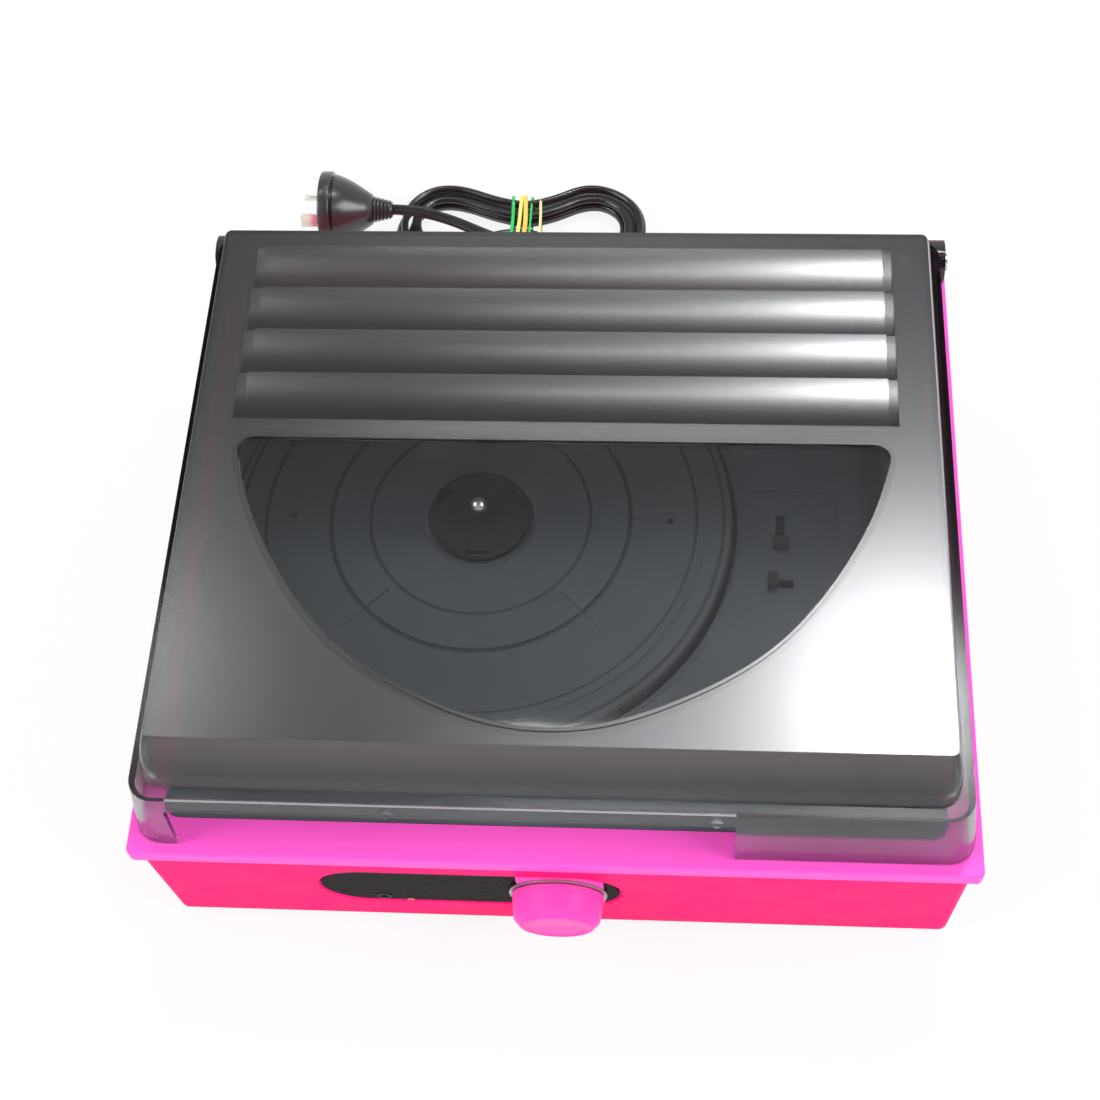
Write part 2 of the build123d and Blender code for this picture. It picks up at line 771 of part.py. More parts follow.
head_x = pivot_x - 2.0
with BuildPart() as tonearm:
    with BuildSketch(Plane.XZ.offset(-(pivot_y + arm_back))):
        with Locations((pivot_x, arm_z)):
            RectangleRounded(2 * arm_half_pivot, 2 * arm_half_height, 1.5)
    with BuildSketch(Plane.XZ.offset(-head_start)):
        with Locations((pivot_x, arm_z)):
            RectangleRounded(2 * arm_half_head, 2 * (arm_half_height - arm_taper_height), 1.5)
    loft()
    with Locations((pivot_x, pivot_y + arm_back, arm_z)):
        Cylinder(2.0, 18.0, rotation=(90, 0, 0), align=(Align.CENTER, Align.CENTER, Align.MAX))
    with BuildSketch(Plane.XY.offset(arm_z - head_height / 2)):
        with Locations((head_x, tip_y + 8.0)):
            RectangleRounded(head_width, head_length, 3.0, rotation=-head_angle)
        with Locations((head_x + 10.0, tip_y - 1.0)):
            RectangleRounded(12.0, 4.0, 1.5, rotation=-head_angle)
    extrude(amount=head_height)
    with Locations((pivot_x, pivot_y, arm_z)):
        Cylinder(1.0 + 0.02, 40.0, rotation=(0, 90, 0), mode=Mode.SUBTRACT)
save(tonearm, "tonearm")

with BuildPart() as counterweight:
    with Locations((pivot_x, pivot_y + arm_back + 3.0, arm_z)):
        Cylinder(7.5, 13.0, rotation=(90, 0, 0), align=(Align.CENTER, Align.CENTER, Align.MAX))
    with Locations((pivot_x, pivot_y + arm_back, arm_z)):
        Cylinder(2.0 + 0.02, 60.0, rotation=(90, 0, 0), mode=Mode.SUBTRACT)
save(counterweight, "counterweight")

cartridge_height = 3.6
with BuildPart() as cartridge:
    with BuildSketch(Plane.XY.offset(arm_z - head_height / 2)):
        with Locations((head_x, tip_y + 6.0)):
            RectangleRounded(10.0, 18.0, 1.0, rotation=-head_angle)
    extrude(amount=-cartridge_height)
save(cartridge, "cartridge")

stylus_tip_z = platter_top + 1.7
with BuildPart() as stylus:
    stylus_top = arm_z - head_height / 2 - cartridge_height
    with Locations((head_x, tip_y + 3.0, stylus_top)):
        Cone(0.3, 1.6, stylus_top - stylus_tip_z, align=TOP)
save(stylus, "stylus")

# Arm rest with its clip
cradle_floor = arm_underside(rest_y + 6.0) - fit_gap
prong_inner = arm_half_pivot + 0.6
clip_x = rest_x + prong_inner + 2.0
clip_z = arm_z + arm_half_height + 2.0
with BuildPart() as arm_rest:
    with Locations((rest_x, rest_y, deck_top)):
        Cylinder(rest_stem_radius - shaft_gap, board_thickness + 2.0, align=TOP)
        Cylinder(5.0, cradle_floor - 3.0 - deck_top, align=BOTTOM)
    with Locations((rest_x + 1.6, rest_y, cradle_floor)):
        Box(15.0, 12.0, 3.0, align=TOP)
    with Locations((clip_x - 0.3, rest_y, cradle_floor - 3.0)):
        Box(3.4, 12.0, clip_z + 1.8 - cradle_floor + 3.0, align=BOTTOM)
    with Locations((clip_x, rest_y, clip_z - 2.4)):
        Box(8.0, 6.6, 12.0, align=BOTTOM, mode=Mode.SUBTRACT)
    with Locations((clip_x, rest_y, clip_z)):
        Cylinder(0.8 + shaft_gap, 20.0, rotation=(90, 0, 0), mode=Mode.SUBTRACT)
save(arm_rest, "arm_rest")

with BuildPart() as arm_clip:
    with Locations((clip_x, rest_y, clip_z)):
        Cylinder(1.7, 6.0, rotation=(90, 0, 0))
        Cylinder(0.8, 12.0, rotation=(90, 0, 0))
        Box(2.0, 6.0, 14.0, align=BOTTOM)
    with Locations((clip_x - 1.6, rest_y, clip_z + 14.0)):
        Box(3.2, 6.0, 1.6, align=TOP)
save(arm_clip, "arm_clip")

# Cue lift: a base with a guide, the curved bar under the arm and the lever beside it
bar_height = 2.2
bar_top = arm_underside(pivot_y - cue_arc_radius) - fit_gap
bar_stem_radius = 2.0
guide_top = deck_top + 6.5
lever_z = deck_top + 8.0
ear_sheet = 2.5
lever_hub_width = 6.0
with BuildPart() as cue_base:
    with Locations((cue_stem_x, cue_stem_y, deck_top)):
        Cylinder(4.2, guide_top - deck_top, align=BOTTOM)
    with BuildSketch(Plane.XY.offset(deck_top)):
        with BuildLine():
            Line((cue_stem_x, cue_stem_y), (cue_x, cue_y))
        trace(line_width=7.0)
        with Locations((cue_x, cue_y)):
            RectangleRounded(lever_hub_width + 2 * ear_sheet + 0.6, 12.0, 1.5)
    extrude(amount=2.5)
    with Locations(
        (cue_x - lever_hub_width / 2 - ear_sheet / 2 - 0.3, cue_y, deck_top),
        (cue_x + lever_hub_width / 2 + ear_sheet / 2 + 0.3, cue_y, deck_top),
    ):
        Box(ear_sheet, 8.0, lever_z + 4.0 - deck_top, align=BOTTOM)
    with Locations((cue_x, cue_y, lever_z)):
        Cylinder(1.5 + shaft_gap, 40.0, rotation=(0, 90, 0), mode=Mode.SUBTRACT)
    with Locations((cue_stem_x, cue_stem_y, deck_top + 1.0)):
        Cylinder(bar_stem_radius + shaft_gap, 30.0, align=BOTTOM, mode=Mode.SUBTRACT)
save(cue_base, "cue_base")

with BuildPart() as cue_bar:
    with BuildSketch(Plane.XY.offset(bar_top - bar_height)):
        with BuildLine():
            CenterArc((pivot_x, pivot_y), cue_arc_radius, 216.0, 62.0)
        trace(line_width=3.0)
    extrude(amount=bar_height)
    with Locations((cue_stem_x, cue_stem_y, bar_top - bar_height)):
        Cylinder(bar_stem_radius, bar_top - bar_height - deck_top - 1.3, align=TOP)
save(cue_bar, "cue_bar")

lever_length = 24.0
with BuildPart() as cue_lever:
    with Locations((cue_x, cue_y, lever_z)):
        Cylinder(3.6, lever_hub_width, rotation=(0, 90, 0))
        Cylinder(1.5, lever_hub_width + 2 * ear_sheet, rotation=(0, 90, 0))
    with BuildSketch(Plane.YZ.offset(cue_x - 2.0)):
        Polygon(
            (cue_y, lever_z - 2.0),
            (cue_y, lever_z + 2.4),
            (cue_y - lever_length, lever_z + 5.4),
            (cue_y - lever_length, lever_z + 2.6),
            align=None,
        )
    extrude(amount=4.0)
    with Locations((cue_x, cue_y - lever_length, lever_z + 2.6)):
        Box(7.0, 4.0, 3.4, align=BOTTOM)
save(cue_lever, "cue_lever")


# Dust cover
skirt_half = skirt_width / 2
skirt_bottom = deck_top + fit_gap
ledge_z = skirt_bottom + skirt_height
crown_z = ledge_z + crown_height
skirt_front = deck_front + skirt_front_margin
skirt_rear = deck_rear - skirt_rear_margin
hinge_y = skirt_rear - hinge_back
hinge_z = deck_top + hinge_height
boss_outer = skirt_half - skirt_draft_side * (hinge_z - skirt_bottom) / skirt_height + hinge_boss_proud
post_outer = skirt_half - 9.4
boss_inner = post_outer + 0.6
rear_notch_width = hinge_post_width + 3.0


def cover_outline(height, inset):
    """Half width, front, rear and corner of the skirt's outside at a height, drawn in by an inset."""
    share = (height - skirt_bottom) / skirt_height
    return (
        skirt_half - share * skirt_draft_side - inset,
        skirt_front + share * skirt_draft_front + inset,
        skirt_rear - share * skirt_draft_rear - inset,
        skirt_corner - share * (skirt_corner - ledge_corner) - inset,
    )


def crown_outline(height, inset):
    """The same for the crown above the ledge."""
    share = (height - ledge_z) / crown_height
    half, front, rear, corner = cover_outline(ledge_z, ledge_width)
    top_corner = max(crown_corner_top - inset, 0.6)
    low_corner = crown_corner_low - inset
    return (
        half - share * crown_draft_side - inset,
        front + share * crown_draft_front + inset,
        rear - share * crown_draft_rear - inset,
        low_corner - share * (low_corner - top_corner),
    )


def window_sketch(height, grow):
    """Half-moon face at a height, let out by a distance."""
    half = window_half + grow
    front = window_front_y - grow
    rear = window_rear_y + grow
    depth = rear - front
    with BuildSketch(Plane.XY.offset(height)) as outline:
        with BuildLine():
            right = Spline(
                (0, front),
                (0.375 * half, front + 0.102 * depth),
                (0.648 * half, front + 0.292 * depth),
                (0.883 * half, front + 0.64 * depth),
                (half, rear),
                tangents=[(1, 0), (0.24, 1)],
            )
            mirror(right, about=Plane.YZ)
            Line((-half, rear), (half, rear))
        make_face()
        fillet(outline.vertices().group_by(Axis.Y)[-1], window_corner + grow)
    return outline.sketch


def slat_section(index, raise_by, bottom):
    """Section of one slat from its high rear edge to its low front edge."""
    rear = slat_rear_y - index * slat_pitch
    front = rear - slat_pitch
    high = crown_z + slat_rise - raise_by
    low = crown_z - slat_fall - raise_by
    middle = (high + low) / 2 + slat_bow
    with BuildLine() as outline:
        ThreePointArc((rear, high), ((rear + front) / 2, middle), (front, low))
        Line((front, low), (front, bottom))
        if raise_by > 0:
            Line((front, bottom), (rear, bottom))
            Line((rear, bottom), (rear, high))
        else:
            inner_rear = rear - slat_heel
            sheet = cover_sheet
            ThreePointArc(
                (front, bottom),
                ((inner_rear + front) / 2, (high - sheet + bottom) / 2 + slat_bow),
                (inner_rear, high - sheet),
            )
            Line((inner_rear, high - sheet), (inner_rear, bottom))
            Line((inner_rear, bottom), (rear, bottom))
            Line((rear, bottom), (rear, high))
    return outline.edges()


slat_bottom = crown_z - slat_fall - cover_sheet
slat_front_y = slat_rear_y - slat_count * slat_pitch

boss_block = 13.0

with BuildPart() as cover_hollow:
    loft([
        frame_sketch(skirt_bottom, *cover_outline(skirt_bottom, cover_sheet)),
        frame_sketch(ledge_z - cover_sheet, *cover_outline(ledge_z - cover_sheet, cover_sheet)),
    ])
    loft([
        frame_sketch(ledge_z - cover_sheet, *crown_outline(ledge_z, cover_sheet)),
        frame_sketch(crown_z - cover_sheet, *crown_outline(crown_z - cover_sheet, cover_sheet)),
    ])
    # The corners behind the hinge bosses stay solid out to the side walls
    block_outer = skirt_half + cover_sheet
    for side in (-1, 1):
        with Locations((side * (boss_inner + block_outer) / 2, hinge_y - boss_block / 2, hinge_z)):
            Box(
                block_outer - boss_inner,
                boss_block,
                2 * hinge_boss_radius,
                mode=Mode.SUBTRACT,
            )

with BuildPart() as lid_shell:
    loft([
        frame_sketch(skirt_bottom, *cover_outline(skirt_bottom, 0)),
        frame_sketch(ledge_z, *cover_outline(ledge_z, 0)),
    ])
    loft([
        frame_sketch(ledge_z, *crown_outline(ledge_z, 0)),
        frame_sketch(crown_z, *crown_outline(crown_z, 0)),
    ])
    add(cover_hollow.part, mode=Mode.SUBTRACT)
    # Hinge bosses
    for side in (-1, 1):
        with Locations((side * (boss_inner + boss_outer) / 2, hinge_y, hinge_z)):
            Cylinder(hinge_boss_radius, boss_outer - boss_inner, rotation=(0, 90, 0))
        with Locations((side * boss_outer, hinge_y, hinge_z)):
            Cylinder(
                hinge_pin_radius + 0.08,
                3 * (boss_outer - boss_inner),
                rotation=(0, 90, 0),
                mode=Mode.SUBTRACT,
            )
    # Slats over an opening in the crown
    slat_run = slat_rear_y - slat_front_y
    slat_middle_y = (slat_rear_y + slat_front_y) / 2
    slat_half_width = slat_half_length + slat_cap
    with Locations((0, slat_middle_y, crown_z)):
        Box(2 * slat_half_width, slat_run, 3 * cover_sheet, mode=Mode.SUBTRACT)
    for index in range(slat_count):
        with BuildSketch(Plane.YZ):
            make_face(slat_section(index, 0.0, slat_bottom))
        extrude(amount=slat_half_length, both=True)
        for side in (-1, 1):
            with BuildSketch(Plane.YZ.offset(side * (slat_half_length + slat_cap / 2))):
                make_face(slat_section(index, slat_cap_drop, slat_bottom))
            extrude(amount=slat_cap / 2, both=True)
    # Stiff edges round the opening, from the slats' lower edges up into the crown
    edge_height = slat_fall + 0.4
    with Locations(
        (0, slat_rear_y + slat_heel / 2, slat_bottom), (0, slat_front_y - slat_heel / 2, slat_bottom)
    ):
        Box(2 * slat_half_width, slat_heel, edge_height, align=BOTTOM)
    with Locations(
        (slat_half_width + slat_heel / 2, slat_middle_y, slat_bottom),
        (-slat_half_width - slat_heel / 2, slat_middle_y, slat_bottom),
    ):
        Box(slat_heel, slat_run + 2 * slat_heel, edge_height, align=BOTTOM)
    # Window opening with a low bead around it
    extrude(window_sketch(crown_z, window_bead), amount=window_bead_height)
    extrude(
        window_sketch(crown_z + window_bead_height, 0.0),
        amount=-3 * cover_sheet,
        mode=Mode.SUBTRACT,
    )
    # Front notch and the rear notches for the hinge posts
    with Locations(((notch_left + notch_right) / 2, skirt_front, skirt_bottom)):
        Box(
            notch_right - notch_left,
            4 * cover_sheet,
            skirt_height - notch_strip,
            align=BOTTOM,
            mode=Mode.SUBTRACT,
        )
    with Locations(
        (boss_inner - rear_notch_width / 2, skirt_rear, skirt_bottom),
        (-boss_inner + rear_notch_width / 2, skirt_rear, skirt_bottom),
    ):
        Box(
            rear_notch_width,
            6 * cover_sheet,
            hinge_height + hinge_post_radius + 2.0,
            align=BOTTOM,
            mode=Mode.SUBTRACT,
        )
save(lid_shell, "lid_shell")

with BuildPart() as lid_window:
    extrude(window_sketch(crown_z - 0.3, -0.2), amount=0.3 - cover_sheet)
    extrude(window_sketch(crown_z - cover_sheet, window_flange), amount=-window_flange_sheet)
save(lid_window, "lid_window")


def hinge_bracket(side):
    """Post on the deck frame that carries one hinge pin."""
    with BuildPart() as bracket:
        with Locations((side * (post_outer - hinge_post_width / 2), hinge_y + 0.5, deck_top)):
            Box(hinge_post_width, 9.0, hinge_height, align=BOTTOM)
        with Locations((side * (post_outer - hinge_post_width / 2 - 1.0), hinge_y + 2.0, deck_top)):
            Box(hinge_post_width + 2.0, 13.0, 2.5, align=BOTTOM)
        with Locations((side * (post_outer - hinge_post_width / 2), hinge_y, hinge_z)):
            Cylinder(hinge_post_radius, hinge_post_width, rotation=(0, 90, 0))
            Cylinder(hinge_pin_radius + 0.02, 3 * hinge_post_width, rotation=(0, 90, 0), mode=Mode.SUBTRACT)
    return bracket


for side, word in ((-1, "left"), (1, "right")):
    save(hinge_bracket(side), "hinge_bracket_" + word)

with BuildPart() as hinge_pins:
    for side in (-1, 1):
        inner = post_outer - hinge_post_width
        with Locations((side * (inner + boss_outer + 0.3) / 2, hinge_y, hinge_z)):
            Cylinder(hinge_pin_radius, boss_outer + 0.3 - inner, rotation=(0, 90, 0))
        with Locations((side * (boss_outer + 0.3 + 0.6), hinge_y, hinge_z)):
            Cylinder(3.6, 1.2, rotation=(0, 90, 0))
save(hinge_pins, "hinge_pins")


# Front panel, collar, ring, knob and potentiometer
with BuildPart() as display_panel:
    with BuildSketch(front_face.offset(-panel_recess)):
        with Locations(((panel_left + panel_right) / 2 - knob_x, 0)):
            SlotOverall(panel_right - panel_left - 0.2, panel_height - 0.2)
        with Locations((collar_shift, 0)):
            Rectangle(collar_width + 0.2, panel_height + 2.0, mode=Mode.SUBTRACT)
        with Locations((lamp_x - knob_x, lamp_z - panel_centre_z)):
            Circle(lamp_radius + 0.1, mode=Mode.SUBTRACT)
        with Locations((phones_x - knob_x, phones_z - panel_centre_z)):
            Circle(phones_radius + 0.1, mode=Mode.SUBTRACT)
    extrude(amount=panel_sheet)
save(display_panel, "display_panel")

with BuildPart() as knob_collar:
    with BuildSketch(front_face.offset(-panel_recess)):
        with Locations(((panel_left + panel_right) / 2 - knob_x, 0)):
            SlotOverall(panel_right - panel_left - 0.2, panel_height - 0.2)
        with Locations((collar_shift, 0)):
            Rectangle(collar_width, panel_height + 2.0, mode=Mode.INTERSECT)
        Circle(bushing_radius, mode=Mode.SUBTRACT)
    extrude(amount=panel_recess + collar_proud)
save(knob_collar, "knob_collar")

with BuildPart() as knob_ring:
    with BuildSketch(front_face.offset(collar_proud)):
        Circle(knob_ring_radius)
        Circle(bushing_radius, mode=Mode.SUBTRACT)
    extrude(amount=knob_ring_sheet)
save(knob_ring, "knob_ring")

knob_back = collar_proud + knob_ring_sheet + knob_back_gap
knob_shoulder = knob_back + knob_body_length
knob_face = knob_shoulder + knob_chamfer_length
with BuildPart() as volume_knob:
    with BuildSketch(front_face.offset(knob_back)):
        Circle(knob_base_radius)
    with BuildSketch(front_face.offset(knob_shoulder)):
        Circle(knob_front_radius)
    loft()
    with BuildSketch(front_face.offset(knob_shoulder)):
        Circle(knob_front_radius)
    with BuildSketch(front_face.offset(knob_face)):
        Circle(knob_face_radius)
    loft()
    with BuildSketch(front_face.offset(knob_face)):
        Circle(knob_face_radius - 1.2)
    with BuildSketch(front_face.offset(knob_face - 0.6)):
        Circle(knob_face_radius - 6.0)
    loft(mode=Mode.SUBTRACT)
    with BuildSketch(front_face.offset(knob_back)):
        Circle(knob_base_radius - 2.2)
        Circle(5.5, mode=Mode.SUBTRACT)
    extrude(amount=knob_body_length - 2.0, mode=Mode.SUBTRACT)
    with BuildSketch(front_face.offset(knob_back)):
        Circle(shaft_radius + 0.02)
    extrude(amount=knob_body_length, mode=Mode.SUBTRACT)
save(volume_knob, "volume_knob")

pot_back = -wall - 9.0
with BuildPart() as volume_pot:
    with BuildSketch(front_face.offset(-wall)):
        RectangleRounded(17.0, 17.0, 2.0)
    extrude(amount=pot_back + wall)
    with BuildSketch(front_face.offset(-wall)):
        Circle(bushing_radius - 0.1)
    extrude(amount=wall + collar_proud)
    with BuildSketch(front_face.offset(pot_back + 2.0)):
        Circle(shaft_radius + shaft_gap)
    extrude(amount=20.0, mode=Mode.SUBTRACT)
save(volume_pot, "volume_pot")

with BuildPart() as pot_shaft:
    with BuildSketch(front_face.offset(pot_back + 2.0 + fit_gap)):
        Circle(shaft_radius)
    extrude(amount=knob_back + knob_body_length - fit_gap - (pot_back + 2.0 + fit_gap))
save(pot_shaft, "pot_shaft")

with BuildPart() as power_lamp:
    with BuildSketch(front_face.offset(-wall - 4.0)):
        with Locations((lamp_x - knob_x, lamp_z - panel_centre_z)):
            Circle(lamp_radius)
    extrude(amount=4.0 + wall - 0.2)
    with BuildSketch(front_face.offset(-wall)):
        with Locations((lamp_x - knob_x, lamp_z - panel_centre_z)):
            Circle(lamp_radius + 0.6)
    extrude(amount=-1.0)
save(power_lamp, "power_lamp")

with BuildPart() as headphone_jack:
    with BuildSketch(front_face.offset(-wall)):
        with Locations((phones_x - knob_x, phones_z - panel_centre_z)):
            Rectangle(9.0, 11.0)
    extrude(amount=-12.0)
    with BuildSketch(front_face.offset(-wall)):
        with Locations((phones_x - knob_x, phones_z - panel_centre_z)):
            Circle(phones_radius)
    extrude(amount=wall - 0.1)
    with BuildSketch(front_face.offset(-0.1)):
        with Locations((phones_x - knob_x, phones_z - panel_centre_z)):
            Circle(1.8)
    extrude(amount=-wall - 9.0, mode=Mode.SUBTRACT)
save(headphone_jack, "headphone_jack")


# Speakers behind the side slots
def speaker_parts(side):
    """Frame with magnet, and cone, of one speaker against a side wall."""
    inner_wall = Plane(
        origin=(side * (lower_half - wall), speaker_y, speaker_z),
        x_dir=(0, 1, 0),
        z_dir=(-side, 0, 0),
    )
    with BuildPart() as speaker_frame:
        with BuildSketch(inner_wall):
            RectangleRounded(speaker_flange, speaker_flange, 5.0)
        extrude(amount=2.0)
        with BuildSketch(inner_wall.offset(2.0)):
            Circle(speaker_radius + 1.5)
        with BuildSketch(inner_wall.offset(14.0)):
            Circle(12.0)
        loft()
        with BuildSketch(inner_wall):
            Circle(speaker_radius)
        with BuildSketch(inner_wall.offset(12.5)):
            Circle(9.5)
        loft(mode=Mode.SUBTRACT)
        with BuildSketch(inner_wall.offset(14.0)):
            Circle(16.0)
        extrude(amount=9.0)
        with BuildSketch(inner_wall):
            with GridLocations(speaker_flange - 9.0, speaker_flange - 9.0, 2, 2):
                Circle(1.4)
        extrude(amount=2.0, mode=Mode.SUBTRACT)
    with BuildPart() as speaker_cone:
        with BuildSketch(inner_wall.offset(1.0)):
            Circle(speaker_radius - 1.2)
        with BuildSketch(inner_wall.offset(10.0)):
            Circle(8.0)
        loft()
        with BuildSketch(inner_wall.offset(1.0)):
            Circle(speaker_radius - 2.2)
        with BuildSketch(inner_wall.offset(9.2)):
            Circle(7.0)
        loft(mode=Mode.SUBTRACT)
    return speaker_frame, speaker_cone


for side, word in ((-1, "left"), (1, "right")):
    frame_piece, cone_piece = speaker_parts(side)
    save(frame_piece, "speaker_frame_" + word)
    save(cone_piece, "speaker_cone_" + word)

# Amplifier board on its standoffs, and the transformer
amp_z = lower_bottom + wall + standoff_height
amp_sheet = 1.6
amp_top = amp_z + amp_sheet
amp_sink_width = 32.0
amp_sink_sheet = 5.0
amp_sink_height = 20.0
capacitor_radius = 5.0
capacitor_height = 16.0
chip_width = 10.0
chip_depth = 8.0
chip_height = 4.0
with BuildPart() as amplifier_board:
    with BuildSketch(Plane.XY.offset(amp_z)):
        with Locations((amp_x, amp_y)):
            Rectangle(amp_width, amp_depth)
    extrude(amount=amp_sheet)
    with Locations((amp_x - 25.0, amp_y - 2.0, amp_top)):
        Box(amp_sink_width, amp_sink_sheet, amp_sink_height, align=BOTTOM)
    with Locations(
        (amp_x + 5.0, amp_y - 10.0, amp_top),
        (amp_x + 19.0, amp_y - 10.0, amp_top),
        (amp_x + 33.0, amp_y + 4.0, amp_top),
    ):
        Cylinder(capacitor_radius, capacitor_height, align=BOTTOM)
    with Locations((amp_x + 33.0, amp_y - 10.0, amp_top), (amp_x + 13.0, amp_y + 8.0, amp_top)):
        Box(chip_width, chip_depth, chip_height, align=BOTTOM)
save(amplifier_board, "amplifier_board")

transformer_x = lower_half - 55.2
transformer_y = lower_rear - wall - 34.6
core_width = 36.0
core_depth = 20.0
core_height = 32.0
coil_width = 22.0
coil_depth = 30.0
coil_height = 20.0
frame_width = 50.0
frame_depth = 14.0
frame_sheet = 1.5
with BuildPart() as transformer:
    with Locations((transformer_x, transformer_y, lower_bottom + wall)):
        Box(core_width, core_depth, core_height, align=BOTTOM)
        Box(frame_width, frame_depth, frame_sheet, align=BOTTOM)
    with Locations(
        (transformer_x, transformer_y, lower_bottom + wall + (core_height - coil_height) / 2)
    ):
        Box(coil_width, coil_depth, coil_height, align=BOTTOM)
save(transformer, "transformer")

# Rear jacks
jack_wall = Plane(origin=(jack_x, lower_rear - wall, jack_z), x_dir=(-1, 0, 0), z_dir=(0, 1, 0))
with BuildPart() as jack_plate:
    with BuildSketch(jack_wall.offset(-2.0)):
        RectangleRounded(jack_window_width + 8.0, jack_window_height + 8.0, 2.0)
        with GridLocations(jack_spacing, 0, 2, 1):
            Circle(3.4, mode=Mode.SUBTRACT)
    extrude(amount=2.0)
save(jack_plate, "jack_plate")

with BuildPart() as phono_jacks:
    with BuildSketch(jack_wall.offset(-2.0)):
        with GridLocations(jack_spacing, 0, 2, 1):
            Circle(3.3)
    extrude(amount=2.0)
    with BuildSketch(jack_wall):
        with GridLocations(jack_spacing, 0, 2, 1):
            Circle(jack_radius)
    extrude(amount=4.0)
    with BuildSketch(jack_wall.offset(4.0)):
        with GridLocations(jack_spacing, 0, 2, 1):
            Circle(1.7)
    extrude(amount=-5.0, mode=Mode.SUBTRACT)
save(phono_jacks, "phono_jacks")

# Mains lead: strain relief, lead, hank, tail and plug
relief_length = 20.0
cord_radius = cord_diameter / 2
relief_exit = lower_rear + relief_length
with BuildPart() as strain_relief:
    relief_plane = Plane(origin=(relief_x, lower_rear, relief_z), x_dir=(-1, 0, 0), z_dir=(0, 1, 0))
    with BuildSketch(relief_plane.offset(-wall)):
        Circle(relief_hole_radius - 0.1)
    extrude(amount=wall)
    with BuildSketch(relief_plane):
        Circle(relief_hole_radius + 2.0)
    extrude(amount=2.0)
    with BuildSketch(relief_plane.offset(2.0)):
        Circle(relief_hole_radius)
    with BuildSketch(relief_plane.offset(relief_length)):
        Circle(cord_radius + 0.6)
    loft()
save(strain_relief, "strain_relief")


def turn_radii(points, share=0.45):
    """Largest arc each corner's two runs allow: a share of the shorter run over the half turn's tangent."""
    radii = []
    for before, corner, after in zip(points, points[1:], points[2:]):
        first = Vector(*corner) - Vector(*before)
        second = Vector(*after) - Vector(*corner)
        half_turn = radians(first.get_angle(second)) / 2
        radii.append(share * min(first.length, second.length) / tan(half_turn))
    return radii


def tube(points, radii):
    """A round tube along straight runs joined by tangent arcs."""
    with BuildPart() as piece:
        with BuildLine() as path:
            FilletPolyline(*points, radius=radii)
        route = path.wire()
        with BuildSketch(Plane(origin=route @ 0, z_dir=route % 0)):
            Circle(cord_radius)
        sweep(path=route)
    return piece, route


# Hank: the loops spiral in, climb a layer along a run and spiral out again over the first ones.
# Seen from above, the near side is towards the cabinet. Each round end is part of a circle, and the
# runs between the ends are drawn in at the waist.
hank_bottom = cord_radius + cord_lift
hank_upper = hank_bottom + hank_layer_step
hank_third = hank_upper + hank_layer_step
outer_radius = hank_inner_radius + 2 * hank_step
middle_radius = hank_inner_radius + hank_step
near_runs = [outer_radius, middle_radius, hank_inner_radius, middle_radius, outer_radius]
far_runs = [middle_radius, hank_inner_radius, hank_inner_radius, middle_radius]
near_climbs = [
    (hank_bottom, hank_bottom),
    (hank_bottom, hank_bottom),
    (hank_bottom, hank_upper),
    (hank_upper, hank_upper),
    (hank_upper, hank_third + 0.3),
]
far_levels = [hank_bottom, hank_bottom, hank_upper, hank_upper]
end_corner_count = 4


def end_frame(direction):
    """Centre and tangent angle past the square of the left (-1) or right (+1) end."""
    if direction > 0:
        return hank_x + hank_reach, radians(hank_right_angle)
    return hank_x - hank_reach, radians(hank_left_angle)


def end_arc(start_run, stop_run):
    """Radius and sideways shift of the arc that joins two runs, near side first."""
    return (start_run + stop_run) / 2, (stop_run - start_run) / 2


def waist_corner(direction, side, radius, shift, height):
    """Where a run that touches an end's circle reaches the waist."""
    centre, angle = end_frame(direction)
    x = waist_x + direction * hank_waist_half
    reach = abs(centre - x)
    y = hank_y + shift + side * (radius / cos(angle) - reach * tan(angle))
    return (x, y, height)


def end_corners(direction, radius, shift, height):
    """Corners round an end's circle, from the near side to the far side."""
    centre, angle = end_frame(direction)
    turn = (pi + 2 * angle) / end_corner_count
    stretch = radius / cos(turn / 2)
    corners = []
    for index in range(end_corner_count):
        place = -(pi / 2 + angle) + turn * (index + 0.5)
        corners.append(
            (centre + direction * stretch * cos(place), hank_y + shift + stretch * sin(place), height)
        )
    return corners


def along(start, towards, distance):
    """The point a distance from one point towards another."""
    step = (Vector(*towards) - Vector(*start)).normalized() * distance
    return tuple(Vector(*start) + step)


hank_corners = []
for turn_number, near in enumerate(near_runs):
    low, high = near_climbs[turn_number]
    rise = high - low
    before = far_runs[turn_number - 1] if turn_number else near
    after = far_runs[turn_number] if turn_number < len(far_runs) else near
    right_arc = end_arc(near, before)
    left_arc = end_arc(near, after)
    hank_corners.append((waist_corner(1, -1, *right_arc, low + 0.35 * rise), hank_waist_bend))
    hank_corners.append((waist_corner(-1, -1, *left_arc, low + 0.9 * rise), hank_waist_bend))
    if turn_number == len(far_runs):
        break
    far = far_runs[turn_number]
    for corner in end_corners(-1, *left_arc, high):
        hank_corners.append((corner, hank_bend_share * left_arc[0]))
    level = far_levels[turn_number]
    right_arc = end_arc(near_runs[turn_number + 1], far)
    hank_corners.append((waist_corner(-1, 1, *left_arc, level), hank_waist_bend))
    hank_corners.append((waist_corner(1, 1, *right_arc, level), hank_waist_bend))
    for corner in reversed(end_corners(1, *right_arc, level)):
        hank_corners.append((corner, hank_bend_share * right_arc[0]))

first_corner = hank_corners[0][0]
last_corner = hank_corners[-1][0]
outer_line = end_corners(1, *end_arc(outer_radius, outer_radius), hank_bottom)[0]
hank_start = along(first_corner, outer_line, 13.0)
lead_corner = along(first_corner, outer_line, 31.0)

